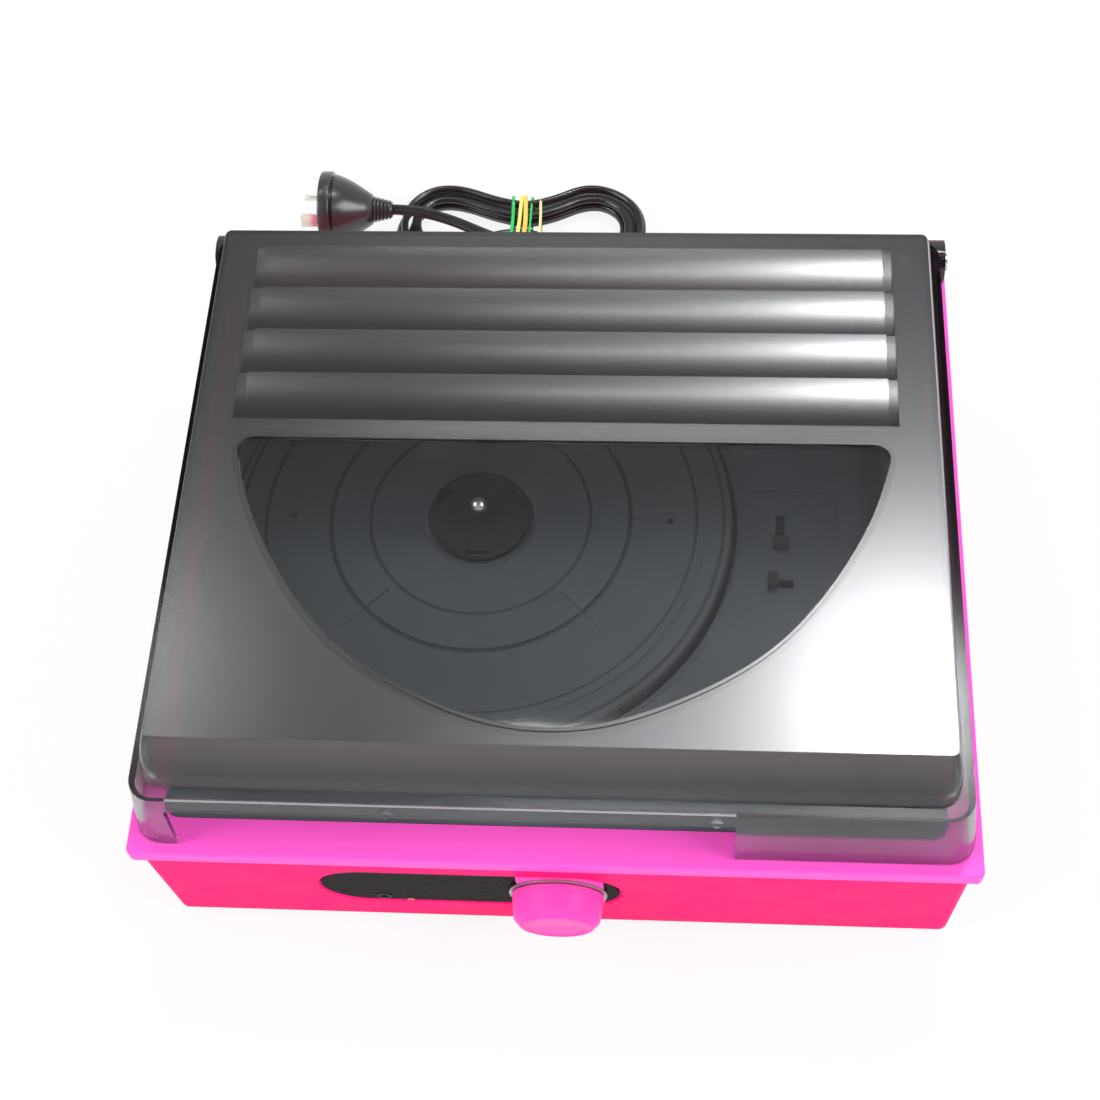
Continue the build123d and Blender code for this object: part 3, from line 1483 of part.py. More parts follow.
# Plug: a flanged round body lying on its rim, its neck towards the hank, with two flat blades
plug_y = hank_y + 1.0
plug_z = plug_radius
neck_x = hank_x - plug_reach
tail_corner = (neck_x + 17.0, plug_y, plug_z)
hank_end = along(last_corner, tail_corner, 13.0)

hank_points = [hank_start] + [corner for corner, bend in hank_corners] + [hank_end]
hank_radii = [bend for corner, bend in hank_corners]
lead_points = [
    (relief_x, relief_exit, relief_z),
    (relief_x, relief_exit + 12.0, relief_z),
    (relief_x - 6.0, relief_exit + 22.4, relief_z - 3.5),
    (relief_x - 16.4, relief_exit + 28.4, relief_z - 9.5),
    (relief_x - 28.4, relief_exit + 28.8, relief_z - 14.0),
    lead_corner,
    hank_start,
]
tail_points = [hank_end, tail_corner, (neck_x, plug_y, plug_z)]
lead_radii = turn_radii(lead_points)
tail_radii = turn_radii(tail_points)
cord_lead, lead_line = tube(lead_points, lead_radii)
cord_hank, hank_line = tube(hank_points, hank_radii)
cord_tail, tail_line = tube(tail_points, tail_radii)
save(cord_lead, "cord_lead")
save(cord_hank, "cord_hank")
save(cord_tail, "cord_tail")


def least_gap(lines, skip, pitch=1.5):
    """Least clear distance between stretches of the cord further apart along it than a skip."""
    places = []
    travelled = 0.0
    for line in lines:
        count = int(line.length / pitch)
        for index in range(count + 1):
            places.append((travelled + line.length * index / count, line @ (index / count)))
        travelled += line.length
    nearest = 1000.0
    for index, (reach, place) in enumerate(places):
        for other_reach, other in places[index + 1 :]:
            if other_reach - reach > skip:
                nearest = min(nearest, (other - place).length)
    return nearest - cord_diameter


for word, piece, line, radii in (
    ("lead", cord_lead, lead_line, lead_radii),
    ("hank", cord_hank, hank_line, hank_radii),
    ("tail", cord_tail, tail_line, tail_radii),
):
    round_volume = pi * cord_radius**2 * line.length
    print(word, "length", round(line.length, 1), "volume share", round(piece.part.volume / round_volume, 4))
    print(word, "radii", [round(radius, 1) for radius in radii])
print("least gap of the cord to itself", round(least_gap([lead_line, hank_line, tail_line], 30.0), 2))


# Rubber bands round the waist
hank_samples = 1200
hank_places = [hank_line @ (index / hank_samples) for index in range(hank_samples + 1)]


def band(x):
    """One band: a flat ring drawn round the runs at a place along the waist."""
    runs = [place for place in hank_places if abs(place.X - x) < band_width]
    near = min(place.Y for place in runs) - cord_radius - band_gap
    far = max(place.Y for place in runs) + cord_radius + band_gap
    near_top = max(place.Z for place in runs) + cord_radius + band_gap
    far_top = hank_upper + cord_radius + band_gap
    inner = [
        (near, band_sheet),
        (far, band_sheet),
        (far, far_top),
        (near + 2.6 * cord_diameter, far_top),
        (near + 1.2 * cord_diameter, near_top),
        (near, near_top),
    ]
    with BuildPart() as ring:
        with BuildSketch(Plane.YZ.offset(x)):
            Polygon(*inner, align=None)
            offset(amount=band_sheet)
            Polygon(*inner, align=None, mode=Mode.SUBTRACT)
        extrude(amount=band_width / 2, both=True)
    return ring


with BuildPart() as band_yellow:
    for shift in (-3.4, -0.4, 2.6, 6.8):
        add(band(waist_x + shift).part)
save(band_yellow, "band_yellow")

with BuildPart() as band_green:
    add(band(waist_x - 6.6).part)
save(band_green, "band_green")

plug_plane = Plane(origin=(neck_x, plug_y, plug_z), x_dir=(0, 1, 0), z_dir=(-1, 0, 0))
with BuildPart() as plug_body:
    with BuildSketch(plug_plane):
        Circle(cord_radius + 1.2)
    with BuildSketch(plug_plane.offset(plug_neck)):
        Circle(plug_radius * 0.6)
    loft()
    with BuildSketch(plug_plane.offset(plug_neck)):
        Circle(plug_radius * 0.78)
    with BuildSketch(plug_plane.offset(plug_neck + plug_depth - plug_rim)):
        Circle(plug_radius * 0.92)
    loft()
    with BuildSketch(plug_plane.offset(plug_neck + plug_depth - plug_rim)):
        Circle(plug_radius)
    extrude(amount=plug_rim)
save(plug_body, "plug_body")

with BuildPart() as plug_blades:
    with BuildSketch(plug_plane.offset(plug_neck + plug_depth)):
        with Locations(Location((-6.9, 0), 30), Location((6.9, 0), -30)):
            Rectangle(1.6, 6.4)
    extrude(amount=blade_length)
save(plug_blades, "plug_blades")
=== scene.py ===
import json
import logging
from collections.abc import Iterator
from contextlib import contextmanager
from dataclasses import dataclass, field
from enum import Enum
from math import cos, pi, radians, sin, tan

import bpy
from mathutils import Matrix, Vector


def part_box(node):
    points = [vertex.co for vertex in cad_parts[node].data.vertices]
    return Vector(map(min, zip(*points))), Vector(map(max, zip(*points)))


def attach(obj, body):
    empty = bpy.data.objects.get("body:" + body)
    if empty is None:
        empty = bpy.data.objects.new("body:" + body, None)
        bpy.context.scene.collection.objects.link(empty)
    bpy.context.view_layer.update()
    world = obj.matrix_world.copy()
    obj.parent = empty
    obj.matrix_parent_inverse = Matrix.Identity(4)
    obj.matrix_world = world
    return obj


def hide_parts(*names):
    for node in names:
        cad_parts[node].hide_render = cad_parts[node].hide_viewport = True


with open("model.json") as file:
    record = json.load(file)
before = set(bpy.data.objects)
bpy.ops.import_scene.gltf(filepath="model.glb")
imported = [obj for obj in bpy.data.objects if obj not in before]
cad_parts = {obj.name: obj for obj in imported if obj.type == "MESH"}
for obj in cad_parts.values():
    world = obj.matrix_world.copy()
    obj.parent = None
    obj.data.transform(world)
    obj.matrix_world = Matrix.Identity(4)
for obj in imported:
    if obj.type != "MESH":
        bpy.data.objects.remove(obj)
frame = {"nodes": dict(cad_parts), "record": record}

log = logging.getLogger("turntable")

Pair = tuple[float, float]
Point = tuple[float, float, float]
Socket = bpy.types.NodeSocket

MM = 0.001
CLOUD_DETAIL = 4.0
GRAIN_DETAIL = 2.0
FROST_DETAIL = 3.0
CLOUD_SPAN = (0.3, 0.7)
WHOLE_SPAN = (0.0, 1.0)
LEAST_ROUGH = 0.02
MERGE_REACH = 0.000004
TURN_MERGE_REACH = 0.000002
FLAT_ANGLE = radians(1.0)
SHARP_ANGLE = radians(30.0)
FACE_WEIGHT = 100
SPLINE_ORDER = 3


class Body(Enum):
    """The bodies that the scene's own pieces ride on."""

    CABINET = "cabinet"
    COVER = "cover"
    PLATTER = "turntable_platter"
    KNOB = "knob"


class Side(Enum):
    """Left or right, seen from the front."""

    LEFT = -1
    RIGHT = 1


@dataclass
class Bench:
    """A node tree at work: it starts empty, and nodes are added with their values and links."""

    tree: bpy.types.NodeTree

    def __post_init__(self) -> None:
        """Clear the bench."""
        self.tree.nodes.clear()

    def feed(self, node: bpy.types.Node, inputs: dict[str | int, object]) -> None:
        """Set or link a node's inputs.

        Args:
            node: The node.
            inputs: For each input, by name or number, its value or the socket that feeds it.
        """
        for name, value in inputs.items():
            if isinstance(value, Socket):
                self.tree.links.new(value, node.inputs[name])
            else:
                node.inputs[name].default_value = value

    def add(self, kind: str, inputs: dict[str | int, object] | None = None, **settings: str) -> bpy.types.Node:
        """Add one node.

        Args:
            kind: The node's type, without its usual first word.
            inputs: Its inputs' values or sockets.
            settings: Its own choices, such as its operation.

        Returns:
            The node.
        """
        node = self.tree.nodes.new(f"ShaderNode{kind}")
        for name, choice in settings.items():
            setattr(node, name, choice)
        self.feed(node, inputs or {})
        return node

    def maths(self, operation: str, *values: float | Socket) -> Socket:
        """The result of one sum on values or sockets."""
        return self.add("Math", dict(enumerate(values)), operation=operation).outputs["Value"]

    def noise(self, place: Socket, scale: float, detail: float) -> Socket:
        """Fine or coarse noise at a place."""
        return self.add("TexNoise", {"Vector": place, "Scale": scale, "Detail": detail}).outputs["Fac"]

    def spread(self, value: Socket, low: float, high: float, span: Pair = WHOLE_SPAN, **settings: str) -> Socket:
        """Spread a value over a range.

        Args:
            value: What is spread.
            low: The result at the span's start.
            high: The result at the span's end.
            span: The part of the value that counts.
            settings: The node's own choices.

        Returns:
            The socket that carries the result.
        """
        inputs = {"Value": value, "From Min": span[0], "From Max": span[1], "To Min": low, "To Max": high}
        return self.add("MapRange", inputs, **settings).outputs["Result"]

    def blend(self, share: Socket, first: object, second: object) -> Socket:
        """Blend two colours by a share."""
        return self.add("Mix", {"Factor": share, "A": first, "B": second}, data_type="RGBA").outputs["Result"]

    def bump(self, height: Socket, strength: float | Socket, distance: float) -> Socket:
        """A normal that follows a height."""
        inputs = {"Height": height, "Strength": strength, "Distance": distance}
        return self.add("Bump", inputs).outputs["Normal"]


@dataclass(frozen=True)
class Finish:
    """One surface: its colour, shine and fine texture.

    Colours are linear red, green and blue. Scales are in repeats per metre, heights in metres.
    """

    name: str
    colour: Point
    rough: float = 0.4
    metal: float = 0.0
    shine: float = 0.5
    coat: float = 0.0
    coat_rough: float = 0.03
    clear: float = 0.0
    bend: float = 1.49
    mottle: float = 0.12
    mottle_scale: float = 60.0
    rough_spread: float = 0.06
    grain: float = 0.15
    grain_scale: float = 2200.0
    grain_height: float = 0.0001

    def _shade(self, level: float) -> tuple[float, ...]:
        """The colour at a level, where 1 is as it is."""
        return tuple(min(max(part * level, 0.0), 1.0) for part in self.colour) + (1.0,)

    def _tint(self, bench: Bench, share: Socket) -> Socket:
        """The mottled colour."""
        return bench.blend(share, self._shade(1 - self.mottle), self._shade(1 + self.mottle))

    def _inside(self, bench: Bench) -> dict[str, Socket]:
        """What fills the piece: nothing."""
        return {}

    def _surface(self, bench: Bench, place: Socket) -> dict[str, Socket]:
        """Lay out the surface's noise.

        Args:
            bench: The material's bench.
            place: The socket that gives the place on the object.

        Returns:
            The sockets that feed the shader, by its inputs' names.
        """
        cloud = bench.noise(place, self.mottle_scale, CLOUD_DETAIL)
        low = max(self.rough - self.rough_spread, LEAST_ROUGH)
        high = min(self.rough + self.rough_spread, 1.0)
        grain = bench.noise(place, self.grain_scale, GRAIN_DETAIL)
        return {
            "Base Color": self._tint(bench, cloud),
            "Roughness": bench.spread(cloud, low, high, CLOUD_SPAN),
            "Normal": bench.bump(grain, self.grain, self.grain_height),
        }

    def make(self) -> bpy.types.Material:
        """Build the material.

        Returns:
            The material, with noise in its colour, roughness and bump.
        """
        material = bpy.data.materials.new(self.name)
        material.use_nodes = True
        bench = Bench(material.node_tree)
        shader = bench.add("BsdfPrincipled")
        shader.inputs["Metallic"].default_value = self.metal
        shader.inputs["Specular IOR Level"].default_value = self.shine
        shader.inputs["Coat Weight"].default_value = self.coat
        shader.inputs["Coat Roughness"].default_value = self.coat_rough
        shader.inputs["Transmission Weight"].default_value = self.clear
        shader.inputs["IOR"].default_value = self.bend
        bench.feed(shader, self._surface(bench, bench.add("TexCoord").outputs["Object"]))
        bench.add("OutputMaterial", {"Surface": shader.outputs["BSDF"], **self._inside(bench)})
        return material


@dataclass(frozen=True)
class PlatterFinish(Finish):
    """Matt moulding with painted shade as dark lines along its turned rings. Rings are radius and half width, in
    metres.
    """

    centre: Pair = (-0.0333, 0.0109)
    rings: tuple[Pair, ...] = ((0.0589, 0.0009), (0.0432, 0.0007), (0.0846, 0.0006), (0.0952, 0.0007))
    painted_ring_shade: float = 0.35

    def _surface(self, bench: Bench, place: Socket) -> dict[str, Socket]:
        """Lay out the surface's noise and paint shade along each ring.

        Args:
            bench: The material's bench.
            place: The socket that gives the place on the object.

        Returns:
            The sockets that feed the shader, by its inputs' names.
        """
        sockets = super()._surface(bench, place)
        shift = {"Vector": place, "Location": (-self.centre[0], -self.centre[1], 0.0), "Scale": (1.0, 1.0, 0.0)}
        plan = bench.add("Mapping", shift).outputs["Vector"]
        reach = bench.add("VectorMath", {0: plan}, operation="LENGTH").outputs["Value"]
        # painted shade: each ring's step is darkened in the base colour
        for radius, half in self.rings:
            near = bench.maths("COMPARE", reach, radius, half)
            sockets["Base Color"] = bench.blend(near, sockets["Base Color"], self._shade(self.painted_ring_shade))
        return sockets


@dataclass(frozen=True)
class SmokeFinish(Finish):
    """Smoke-tinted moulding: frosted and dark from a height up, polished and clear at the front below it;
    painted shade darkens its sides and rear.

    Heights and places are in metres. The veil is what the wall's depth lets through.
    """

    frost_low: float = 0.1128
    frost_high: float = 0.1142
    frost_rough: float = 0.27
    frost_tone: float = 0.22
    frost_grain: float = 0.3
    low_shine: float = 0.5
    low_bend: float = 1.2
    clear_front: float = -0.118
    painted_side_shade_y: float = -0.1
    veil: Point = (0.02, 0.03, 0.04)
    depth: float = 90.0

    def _inside(self, bench: Bench) -> dict[str, Socket]:
        """The wall's tint, deeper where the wall is thicker."""
        inputs = {"Color": (*self.veil, 1.0), "Density": self.depth}
        return {"Volume": bench.add("VolumeAbsorption", inputs).outputs["Volume"]}

    def _surface(self, bench: Bench, place: Socket) -> dict[str, Socket]:
        """Lay out the frosting, the tint, the painted shade at the sides and rear, and the grain.

        Args:
            bench: The material's bench.
            place: The socket that gives the place on the object.

        Returns:
            The sockets that feed the shader, by its inputs' names.
        """
        split = bench.add("SeparateXYZ", {"Vector": place}).outputs
        frost = bench.spread(split["Z"], 0.0, 1.0, (self.frost_low, self.frost_high))
        # painted shade: the colour darkens from the clear front towards the sides and rear, where the deck under
        # the wall lies in shadow
        side = bench.spread(split["Y"], 0.0, 1.0, (self.clear_front, self.painted_side_shade_y))
        grain = bench.noise(place, self.grain_scale, FROST_DETAIL)
        frost_or_side_shade = bench.maths("MAXIMUM", frost, side)
        strength = bench.spread(frost, self.grain, self.frost_grain)
        return {
            "Base Color": bench.blend(frost_or_side_shade, self._tint(bench, grain), self._shade(self.frost_tone)),
            "Roughness": bench.spread(frost, self.rough, self.frost_rough),
            "Specular IOR Level": bench.spread(frost, self.low_shine, self.shine),
            "Coat Weight": bench.spread(frost, 0.0, self.coat),
            "IOR": bench.spread(frost, self.low_bend, self.bend),
            "Normal": bench.bump(grain, strength, self.grain_height),
        }


PINK = Finish("hot_pink_moulding", (0.97, 0.1, 0.56), rough=0.36, shine=0.1, mottle=0.02, grain=0.1)
PINK_TUB = Finish(
    "hot_pink_tub_moulding", (0.93, 0.014, 0.18), rough=0.45, shine=0.02, mottle=0.02, grain=0.12
)
PINK_KNOB = Finish(
    "pink_knob_moulding", (0.95, 0.07, 0.44), rough=0.3, shine=0.06, mottle=0.02, grain=0.05
)
PANEL_BLACK = Finish(
    "panel_black_plastic",
    (0.006, 0.005, 0.004),
    rough=0.5,
    shine=0.04,
    mottle=0.3,
    mottle_scale=500,
    grain=0.3,
)
PLUG_BLACK = Finish(
    "plug_black_moulding",
    (0.02, 0.02, 0.019),
    rough=0.3,
    coat=0.5,
    coat_rough=0.2,
    mottle=0.2,
    grain=0.1,
)
BLACK = Finish("black_plastic", (0.02, 0.02, 0.022), rough=0.42, mottle=0.2, grain=0.25)
STEEL = Finish("bright_steel", (0.6, 0.6, 0.62), rough=0.28, metal=1.0, mottle=0.08, grain=0.12)
CORD_BLACK = Finish("cord_black_sheath", (0.012, 0.012, 0.013), rough=0.22, mottle=0.2, grain=0.08)
BLADE_METAL = Finish("blade_pale_nickel", (0.74, 0.72, 0.64), rough=0.3, metal=0.9, mottle=0.06, grain=0.05)
BAND_YELLOW = Finish("yellow_band_rubber", (0.83, 0.72, 0.18), rough=0.5, mottle=0.15, mottle_scale=300)
BAND_ORANGE = Finish("orange_band_rubber", (0.8, 0.52, 0.1), rough=0.5, mottle=0.15, mottle_scale=300)
BAND_PALE = Finish("pale_band_rubber", (0.84, 0.74, 0.36), rough=0.5, mottle=0.15, mottle_scale=300)
BAND_GREEN = Finish("green_band_rubber", (0.02, 0.5, 0.09), rough=0.5, mottle=0.2, mottle_scale=300)
SMOKE = SmokeFinish(
    "smoke_cover_moulding",
    (0.93, 0.93, 0.94),
    rough=0.12,
    clear=0.985,
    shine=1.0,
    coat=0.8,
    coat_rough=0.22,
    mottle=0.06,
    grain=0.1,
    grain_scale=1500.0,
    grain_height=0.00004,
)
WINDOW = Finish(
    "clear_window_moulding",
    (0.8, 0.82, 0.84),
    rough=0.03,
    clear=1.0,
    mottle=0.02,
    grain=0.015,
    grain_scale=400.0,
    rough_spread=0.02,
)

SLOT_FINISHES: dict[str, Finish] = {
    "pink_shell": PINK,
    "pink_knob": PINK_KNOB,
    "smoke_cover": SMOKE,
    "clear_window": WINDOW,
    "clear_ring": Finish(
        "clear_ring_moulding", (0.93, 0.85, 0.9), rough=0.12, clear=0.85, mottle=0.04, grain=0.05
    ),
    "black_mat": PlatterFinish(
        "platter_grey_plastic", (0.072, 0.077, 0.082), rough=0.5, mottle=0.12, grain=0.25
    ),
    "black_board": Finish(
        "board_black_plastic",
        (0.08, 0.087, 0.098),
        rough=0.5,
        mottle=0.12,
        grain=0.1,
        grain_scale=1500,
    ),
    "black_plastic": BLACK,
    "black_gloss": Finish("gloss_black_plastic", (0.012, 0.012, 0.014), rough=0.12, mottle=0.15, grain=0.03),
    "rubber_feet": Finish(
        "foot_rubber", (0.03, 0.03, 0.03), rough=0.75, mottle=0.2, grain=0.4, grain_scale=1200
    ),
    "belt_rubber": Finish("belt_rubber", (0.035, 0.035, 0.035), rough=0.65, mottle=0.2, grain=0.3),
    "steel": STEEL,
    "chrome": Finish("polished_chrome", (0.78, 0.78, 0.8), rough=0.1, metal=1.0, mottle=0.05, grain=0.03),
    "brass": Finish("turned_brass", (0.72, 0.55, 0.24), rough=0.25, metal=1.0, mottle=0.1, grain=0.1),
    "nylon": Finish("white_nylon", (0.8, 0.8, 0.74), rough=0.45, mottle=0.05, grain=0.1),
    "red_lamp": Finish("red_lens", (0.5, 0.02, 0.02), rough=0.15, clear=0.3, mottle=0.1, grain=0.05),
    "cartridge_red": Finish("red_plastic", (0.55, 0.03, 0.03), rough=0.35, mottle=0.1, grain=0.1),
    "stylus_metal": Finish("needle_metal", (0.68, 0.68, 0.68), rough=0.2, metal=1.0, mottle=0.08, grain=0.05),
    "speaker_metal": Finish("basket_black_paint", (0.05, 0.05, 0.05), rough=0.4, mottle=0.2, grain=0.2),
    "speaker_paper": Finish(
        "cone_black_paper", (0.03, 0.03, 0.03), rough=0.85, mottle=0.3, grain=0.5, grain_scale=900
    ),
    "circuit_board": Finish(
        "board_green_lacquer", (0.02, 0.16, 0.06), rough=0.3, mottle=0.25, mottle_scale=300
    ),
    "core_iron": Finish("core_iron", (0.2, 0.17, 0.15), rough=0.45, metal=0.8, mottle=0.3, mottle_scale=400),
    "jack_black": Finish("jack_black_plastic", (0.025, 0.025, 0.025), rough=0.45, mottle=0.2, grain=0.2),
    "jack_metal": Finish("nickel_plate", (0.72, 0.7, 0.66), rough=0.16, metal=1.0, mottle=0.06, grain=0.05),
    "cord_black": CORD_BLACK,
    "band_yellow": BAND_YELLOW,
    "band_green": BAND_GREEN,
}


class Workshop:
    """The hand operations that every sub-assembly uses."""

    @staticmethod
    def clear_selection() -> None:
        """Leave edit mode and deselect every object."""
        if bpy.context.object and bpy.context.object.mode != "OBJECT":
            bpy.ops.object.mode_set(mode="OBJECT")
        bpy.ops.object.select_all(action="DESELECT")

    @classmethod
    def pick(cls, piece: bpy.types.Object) -> None:
        """Make one object the only selected and active one."""
        cls.clear_selection()
        piece.select_set(True)
        bpy.context.view_layer.objects.active = piece

    @classmethod
    @contextmanager
    def editing(cls, piece: bpy.types.Object) -> Iterator[None]:
        """Work on a piece in edit mode, with all of it selected."""
        cls.pick(piece)
        bpy.ops.object.mode_set(mode="EDIT")
        bpy.ops.mesh.select_all(action="SELECT")
        yield
        bpy.ops.object.mode_set(mode="OBJECT")

    @classmethod
    def smooth(cls, piece: bpy.types.Object, angle: float = 32.0) -> None:
        """Shade a piece smooth except at edges sharper than an angle in degrees."""
        cls.pick(piece)
        bpy.ops.object.shade_smooth_by_angle(angle=radians(angle))

    @classmethod
    def apply(cls, piece: bpy.types.Object, modifier: bpy.types.Modifier) -> None:
        """Apply one modifier to a piece."""
        cls.pick(piece)
        bpy.ops.object.modifier_apply(modifier=modifier.name)

    @classmethod
    def even_shading(cls, piece: bpy.types.Object, angle: float = 36.0) -> None:
        """Shade a rounded piece so that its large flat faces stay flat.

        Args:
            piece: The piece.
            angle: Edges sharper than this, in degrees, stay sharp.
        """
        cls.smooth(piece, angle)
        weights = piece.modifiers.new("even_shading", "WEIGHTED_NORMAL")
        weights.keep_sharp = True
        weights.weight = FACE_WEIGHT
        cls.apply(piece, weights)

    @classmethod
    def round_edges(cls, piece: bpy.types.Object, width: float, steps: int = 2) -> None:
        """Round the sharp edges of a piece.

        Args:
            piece: The piece to round.
            width: Width of the rounding, in millimetres.
            steps: Segments over the rounding.
        """
        bevel = piece.modifiers.new("rounding", "BEVEL")
        bevel.width = width * MM
        bevel.segments = steps
        bevel.limit_method = "ANGLE"
        bevel.angle_limit = SHARP_ANGLE
        bevel.use_clamp_overlap = True
        bevel.harden_normals = False
        cls.apply(piece, bevel)

    @classmethod
    def merged_copy(cls, node: str, name: str) -> bpy.types.Object:
        """Copy a CAD node as a clean mesh that can be shaped.

        Args:
            node: The CAD node's name.
            name: The copy's name.

        Returns:
            The copy, its doubles and its flat neighbouring faces merged.
        """
        piece = bpy.data.objects.new(name, frame["nodes"][node].data.copy())
        bpy.context.scene.collection.objects.link(piece)
        with cls.editing(piece):
            bpy.ops.mesh.remove_doubles(threshold=MERGE_REACH)
            bpy.ops.mesh.dissolve_limited(angle_limit=FLAT_ANGLE)
        return piece

    @classmethod
    def turned(cls, name: str, profile: list[Pair], steps: int, place: Matrix) -> bpy.types.Object:
        """Turn a profile round the Z axis, as on a lathe.

        Args:
            name: The piece's name.
            profile: Radius and height pairs in millimetres, from the axis out and back.
            steps: Segments round the axis.
            place: Where the turned piece goes.

        Returns:
            The closed, turned piece, its place in its mesh.
        """
        line = [(radius * MM, 0.0, height * MM) for radius, height in profile]
        cls.clear_selection()
        bpy.ops.mesh.primitive_plane_add(size=MM, location=(0, 0, 0))
        piece = bpy.context.object
        piece.name = name
        with cls.editing(piece):
            bpy.ops.mesh.delete(type="ONLY_FACE")
            bpy.ops.mesh.select_all(action="SELECT")
            bpy.ops.mesh.merge(type="CENTER")
            bpy.ops.transform.translate(value=line[0])
            for before, after in zip(line, line[1:]):
                step = tuple(stop - start for start, stop in zip(before, after))
                bpy.ops.mesh.extrude_vertices_move(TRANSFORM_OT_translate={"value": step})
            bpy.ops.mesh.select_all(action="SELECT")
            bpy.ops.mesh.spin(
                steps=steps, angle=2 * pi, center=(0, 0, 0), axis=(0, 0, 1), use_auto_merge=False
            )
            bpy.ops.mesh.select_all(action="SELECT")
            bpy.ops.mesh.remove_doubles(threshold=TURN_MERGE_REACH)
            bpy.ops.mesh.normals_make_consistent(inside=False)
        piece.matrix_world = place @ piece.matrix_world
        cls.pick(piece)
        bpy.ops.object.transform_apply(location=True, rotation=True, scale=True)
        return piece

    @staticmethod
    def spline(name: str, points: list[Point], resolution: int, closed: bool) -> bpy.types.Curve:
        """Draw one smooth spline.

        Args:
            name: The curve's name.
            points: Its control points, in millimetres.
            resolution: Steps from one control point to the next.
            closed: Whether it ends where it starts.

        Returns:
            The curve.
        """
        curve = bpy.data.curves.new(name, "CURVE")
        curve.dimensions = "3D"
        line = curve.splines.new("NURBS")
        line.points.add(len(points) - 1)
        for point, (x, y, z) in zip(line.points, points):
            point.co = (x * MM, y * MM, z * MM, 1.0)
        line.order_u = SPLINE_ORDER
        line.use_cyclic_u = closed
        line.use_endpoint_u = not closed
        line.resolution_u = resolution
        return curve

    @staticmethod
    def dress(piece: bpy.types.Object, finish: Finish) -> None:
        """Give a piece its one finish, making the material on first use."""
        material = bpy.data.materials.get(finish.name) or finish.make()
        piece.data.materials.clear()
        piece.data.materials.append(material)

    @staticmethod
    def along(origin: Point, direction: Point) -> Matrix:
        """A placement that takes the Z axis to a direction at an origin in millimetres."""
        turn = Vector((0, 0, 1)).rotation_difference(Vector(direction).normalized())
        return Matrix.Translation(Vector(origin) * MM) @ turn.to_matrix().to_4x4()

    @staticmethod
    def slot_word(node: bpy.types.Object) -> str:
        """The name of a CAD node's first material slot."""
        slots = [slot.material.name for slot in node.material_slots if slot.material]
        return slots[0].split(".")[0] if slots else ""


def arc(centre: Pair, radius: float, start: float, stop: float, count: int = 5) -> list[Pair]:
    """Points of a rounded corner in a turned profile.

    Args:
        centre: The arc's centre, as radius and height.
        radius: The arc's radius.
        start: Angle of its first point, in degrees.
        stop: Angle of its last point, in degrees.
        count: Number of points.

    Returns:
        The points in order.
    """
    places = []
    for index in range(count):
        angle = radians(start + (stop - start) * index / (count - 1))
        places.append((centre[0] + radius * cos(angle), centre[1] + radius * sin(angle)))
    return places


@dataclass(frozen=True)
class Lamp:
    """One soft rectangular lamp. Radiance is how bright its face is, where 1 is white.

    It faces its target, or straight down where it has none.
    """

    name: str
    place: Point
    size: Pair
    radiance: float
    colour: Point = (0.96, 0.98, 1.0)
    target: Point | None = None

    def hang(self) -> None:
        """Hang the lamp in the studio."""
        data = bpy.data.lights.new(self.name, "AREA")
        data.shape = "RECTANGLE"
        data.size, data.size_y = self.size
        data.energy = self.radiance * pi * self.size[0] * self.size[1]
        data.color = self.colour
        lamp = bpy.data.objects.new(self.name, data)
        bpy.context.scene.collection.objects.link(lamp)
        facing = Vector((0.0, 0.0, -1.0))
        if self.target is not None:
            facing = (Vector(self.target) - Vector(self.place)).normalized()
        turn = facing.to_track_quat("-Z", "Y")
        lamp.matrix_world = Matrix.Translation(self.place) @ turn.to_matrix().to_4x4()


@dataclass(frozen=True)
class Glow:
    """A soft bright patch of the surroundings, its half width in degrees."""

    towards: Point
    spread: float
    strength: float

    def lay(self, bench: Bench, place: Socket) -> Socket:
        """Lay the patch into the surroundings.

        Args:
            bench: The world's bench.
            place: The socket that gives the direction.

        Returns:
            The socket that carries its brightness.
        """
        inputs = {0: place, 1: Vector(self.towards).normalized()}
        aim = bench.add("VectorMath", inputs, operation="DOT_PRODUCT").outputs["Value"]
        away = bench.maths("SUBTRACT", aim, 1.0)
        steep = bench.maths("MULTIPLY", away, 2.0 / radians(self.spread) ** 2)
        return bench.maths("MULTIPLY", bench.maths("EXPONENT", steep), self.strength)


